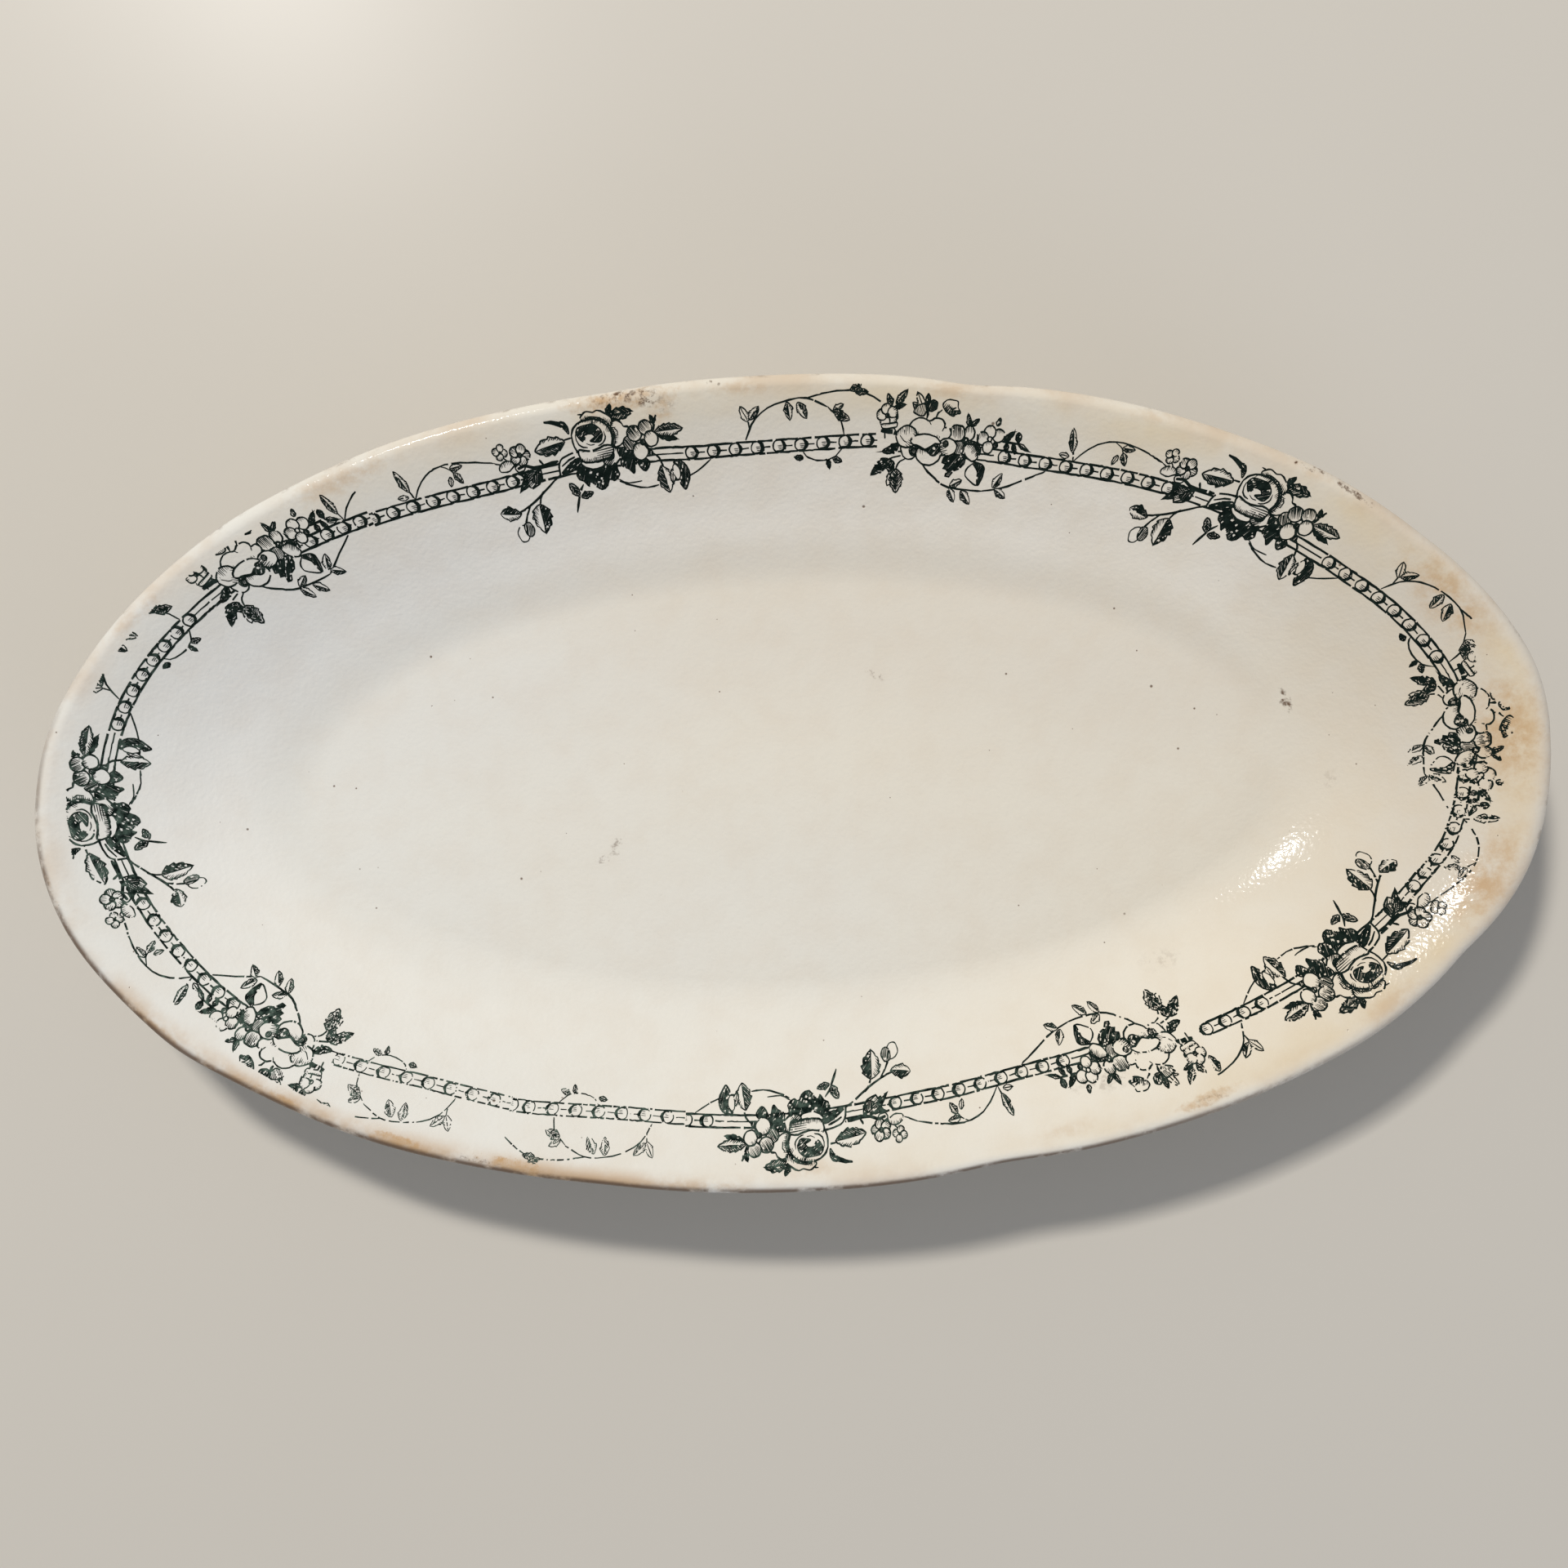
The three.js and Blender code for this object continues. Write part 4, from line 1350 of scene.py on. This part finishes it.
# marks in the well: place along and across, half length, half width, turn, ragged edge, softness, strength
WELL_MARKS = (
    (104.3, 12.8, 2.8, 1.2, -70, 0.5, 0.6, 0.95),
    (-37.5, -12, 2.6, 1.4, 60, 0.6, 0.7, 0.5),
    (-40.5, -14.5, 1.8, 0.9, 20, 0.6, 0.7, 0.5),
    (18.5, 22, 3, 0.8, -30, 0.5, 0.7, 0.5),
    (-11, 79, 0.5, 0.4, 0, 0.3, 0.5, 0.9),
    (75, -40, 6, 2.6, 10, 0.3, 0.9, 0.18),
    (112, -4, 3, 2, 40, 0.3, 0.9, 0.2),
    (60, -62, 9, 3, 12, 0.3, 0.9, 0.3),
)


def well_marks(n):
    """The darkest, at each place, of the marks in the well."""
    found = []
    for along, across, length, width, turn, *rest in WELL_MARKS:
        found.append(stain(n, (along * MM, across * MM), length, width, math.radians(turn), *rest))
    return functools.reduce(Value.over, found)


def china_colour(n, here, inward, colours):
    """The glazed clay before its stains, with light and shade painted in: whiter on the side at the back as
    painted light, painted shade where the side runs into the well, darker towards the right end, and bluer at
    the left as painted cool light.
    """
    x, y, _ = n.split(here)
    # painted light: the side at the back, and a little of the front side, is painted whiter
    wall = n.ramp(inward, 37, 25) * n.ramp(inward, 5, 18) * n.ramp(y * 12 + x * -4, -1.1, 0.9)
    wall = wall.over(n.ramp(y, -0.012, -0.046) * 0.2)
    body = n.mix(wall, colours.china, colours.painted_light_china)
    # painted shade in the hollow where the side meets the well at the back, and darker towards the right end
    hollow = n.ramp(inward, 27, 37) * n.ramp(inward, 80, 46) * n.ramp(y, -0.01, 0.02)
    body = n.mix((hollow * 0.42).over(n.ramp(x, 0.08, 0.135) * 0.7), body, colours.painted_shade_and_darker_china)
    # painted cool light: the china turns bluer towards the left
    cool = n.ramp(x * -4.2 + y * -3 + n.noise(here, 14) * 0.7, 0.1, 0.9)
    body = n.mix(cool * 0.5, body, colours.painted_cool_light_china)
    return n.mix(n.ramp(n.noise(here, 120, 4, 0.6), 0.35, 0.75) * 0.07, body, colours.tan_stain)


def rim_staining(n, here, inward, body, size, colours):
    """Yellowing along the rim, broad at the right, with tan stains in it and a scorched front left."""
    x, y, _ = n.split(here)
    broad = n.ramp(inward, 15.0, 3.0).over(n.ramp(inward, 50, 8) * 0.45) * n.ramp(inward, 0.4, 4.0)
    broad = broad * n.ramp(x * 5 + y * 4, -0.9, 0.9) * n.ramp(n.noise(here, 30, 4, 0.6), 0.25, 0.7)
    body = n.mix(broad * 0.85, body, colours.cream_stain)
    cloud = n.ramp(inward, 6.5, 0.5) * n.ramp(n.noise(here, 42, 5, 0.65), 0.4, 0.68) * 0.4
    grain = n.ramp(n.noise(here, 240, 5, 0.7), 0.28, 0.66)
    body = n.mix(cloud.over(rim_stains(n, size, TAN_SPOTS) * grain), body, colours.tan_stain)
    front_left = n.ramp(x, 0.005, -0.025) * n.ramp(y, -0.02, -0.045)
    scorched = n.ramp(inward, 4.6, 1.0) * n.ramp(n.noise(here, 70, 5, 0.65), 0.3, 0.62)
    return n.mix(scorched * front_left * 0.8, body, colours.tan_stain)


def glaze_material(size, colours):
    """Cream earthenware under old clear glaze."""
    material, n, shader = new_material("glazed_china")
    here = n.place()
    x, y, z = n.split(here)
    inward = n.add("ShaderNodeAttribute", take="Fac", attribute_name="rim_distance")
    body = china_colour(n, here, inward, colours)
    body = rim_staining(n, here, inward, body, size, colours)

    front = n.ramp(y + x * 0.28, 0.0, -0.065)
    upper_lip = n.ramp(z, size.height - 1.3 * size.lip_radius, size.height - 0.7 * size.lip_radius)
    # the outer lip at the front: worn dirt and painted shade of the lip's shadowed outer side, as one brown
    # line
    chafe_and_shade = n.ramp(inward, 1.7, 0.6) * n.ramp(n.noise(here, 90, 5, 0.7), 0.32, 0.52) * upper_lip
    worn = n.ramp(inward, 1.1, 0.0) * n.ramp(n.noise(here, 160, 5, 0.7), 0.54, 0.68)
    flecks = n.ramp(n.noise(here, 620, 4, 0.7), 0.46, 0.62)
    dirt_and_shade = (worn * 0.6).over(chafe_and_shade * front * 0.9).over(rim_stains(n, size, BROWN_SPOTS) * flecks)
    dirt_and_shade = dirt_and_shade.over(glaze_bump(n, shader) * 0.85)
    body = n.mix(dirt_and_shade, body, colours.brown_stain_and_shade)
    upper_face = n.ramp(z, floor_height(size) - 0.002, floor_height(size) - 0.0002)
    body = n.mix(well_marks(n) * flecks * upper_face, body, colours.brown_stain_and_shade)

    foot = n.ramp(z + n.noise(here, 420, 4) * 0.0006, 0.00075, 0.00035)
    n.set(shader["Base Color"], n.mix(foot, body, colours.bare_clay))
    n.set(shader["Roughness"], foot * 0.6 + n.noise(here, 60, 3) * 0.06 + dirt_and_shade * 0.25 + GLOSS)
    return material


def ink_material(colours):
    """Printing ink under the same glaze, which took worst at the front left."""
    material, n, shader = new_material("transfer_ink")
    here = n.place()
    x, y, _ = n.split(here)
    glaze_bump(n, shader)
    poor = n.ramp(x * -3.5 + y * -6.5, -0.05, 0.62)
    faded = (poor * 0.6 + 0.08) * n.ramp(n.noise(here, 700, 3, 0.6), 0.35, 0.75)
    n.set(shader["Base Color"], n.mix(faded, colours.ink, colours.faded_ink))
    n.set(shader["Roughness"], INK_ROUGHNESS)
    n.set(shader["Specular IOR Level"], INK_SHINE)
    return material


def table_material(colours):
    material, n, shader = new_material("plain_table")
    darker = tuple(v * TABLE_SHADE for v in colours.table)
    n.set(shader["Base Color"], n.mix(n.noise(n.place(), 6, 3), colours.table, darker))
    n.set(shader["Roughness"], 0.3)
    return material


# ---------------------------------------------------------------------------------------------------------
# Table, light and camera


def make_stage(colours):
    """A plain table top, a soft window light from the back left, and the camera above."""
    bm = bmesh.new()
    bmesh.ops.create_grid(bm, x_segments=1, y_segments=1, size=TABLE_HALF)
    mesh = bpy.data.meshes.new("table_top")
    bm.to_mesh(mesh)
    bm.free()
    mesh.materials.append(table_material(colours))
    table = bpy.data.objects.new("table_top", mesh)
    bpy.context.scene.collection.objects.link(table)

    for name, towards, distance_away, size, power, shade, mirrored in LIGHTS:
        light = bpy.data.lights.new(name, "AREA")
        light.shape = "RECTANGLE"
        light.size, light.size_y = size
        light.energy = power
        light.color = linear(shade)
        lamp = bpy.data.objects.new(name, light)
        way = Vector(towards).normalized()
        lamp.location = way * distance_away
        lamp.visible_glossy = mirrored
        lamp.rotation_mode = "QUATERNION"
        lamp.rotation_quaternion = way.to_track_quat("Z", "Y")
        bpy.context.scene.collection.objects.link(lamp)

    world = bpy.data.worlds.new("room")
    world.use_nodes = True
    sky = world.node_tree.nodes["Background"]
    sky.inputs["Color"].default_value = (*linear(ROOM_COLOUR), 1)
    sky.inputs["Strength"].default_value = ROOM_LIGHT
    bpy.context.scene.world = world

    lens = bpy.data.cameras.new("camera")
    lens.sensor_width = 36
    lens.lens = CAMERA_LENS
    lens.clip_start = 0.01
    camera = bpy.data.objects.new("camera", lens)
    camera.location = CAMERA_PLACE
    camera.rotation_euler = [math.radians(v) for v in CAMERA_TURN]
    bpy.context.scene.collection.objects.link(camera)
    bpy.context.scene.camera = camera
    bpy.context.scene.view_settings.view_transform = "Standard"


# ---------------------------------------------------------------------------------------------------------
# Operators, panel and running order


class PLATTER_OT_body(bpy.types.Operator):
    """Make the glazed body: lip, side, well and foot ring in one piece"""

    bl_idname = "platter.make_body"
    bl_label = "Make the body"

    def execute(self, context):
        make_body(context.scene.platter_sizes, context.scene.platter_colours)
        return {"FINISHED"}


class PLATTER_OT_print(bpy.types.Operator):
    """Draw the border strip by strip and lay it on the side"""

    bl_idname = "platter.make_print"
    bl_label = "Print the border"

    def execute(self, context):
        make_print(context.scene.platter_sizes, context.scene.platter_colours)
        return {"FINISHED"}


class PLATTER_OT_stage(bpy.types.Operator):
    """Set out the table, the light and the camera"""

    bl_idname = "platter.set_stage"
    bl_label = "Set the stage"

    def execute(self, context):
        make_stage(context.scene.platter_colours)
        return {"FINISHED"}


class PLATTER_PT_panel(bpy.types.Panel):
    """Everything the platter is made with"""

    bl_label = "Platter"
    bl_idname = "PLATTER_PT_panel"
    bl_space_type = "VIEW_3D"
    bl_region_type = "UI"
    bl_category = "Platter"

    def draw(self, context):
        column = self.layout.column()
        for settings in (context.scene.platter_sizes, context.scene.platter_colours):
            for name in settings.bl_rna.properties.keys():
                if name not in ("rna_type", "name"):
                    column.prop(settings, name)
        for operator in OPERATORS:
            column.operator(operator.bl_idname)


OPERATORS = (PLATTER_OT_stage, PLATTER_OT_body, PLATTER_OT_print)
CLASSES = (PlatterSizes, PlatterColours, *OPERATORS, PLATTER_PT_panel)


def register():
    for item in CLASSES:
        bpy.utils.register_class(item)
    bpy.types.Scene.platter_sizes = bpy.props.PointerProperty(type=PlatterSizes)
    bpy.types.Scene.platter_colours = bpy.props.PointerProperty(type=PlatterColours)


def unregister():
    del bpy.types.Scene.platter_colours
    del bpy.types.Scene.platter_sizes
    for item in reversed(CLASSES):
        bpy.utils.unregister_class(item)


def main():
    register()
    bpy.ops.platter.set_stage()
    bpy.ops.platter.make_body()
    bpy.ops.platter.make_print()


if __name__ == "__main__":
    main()
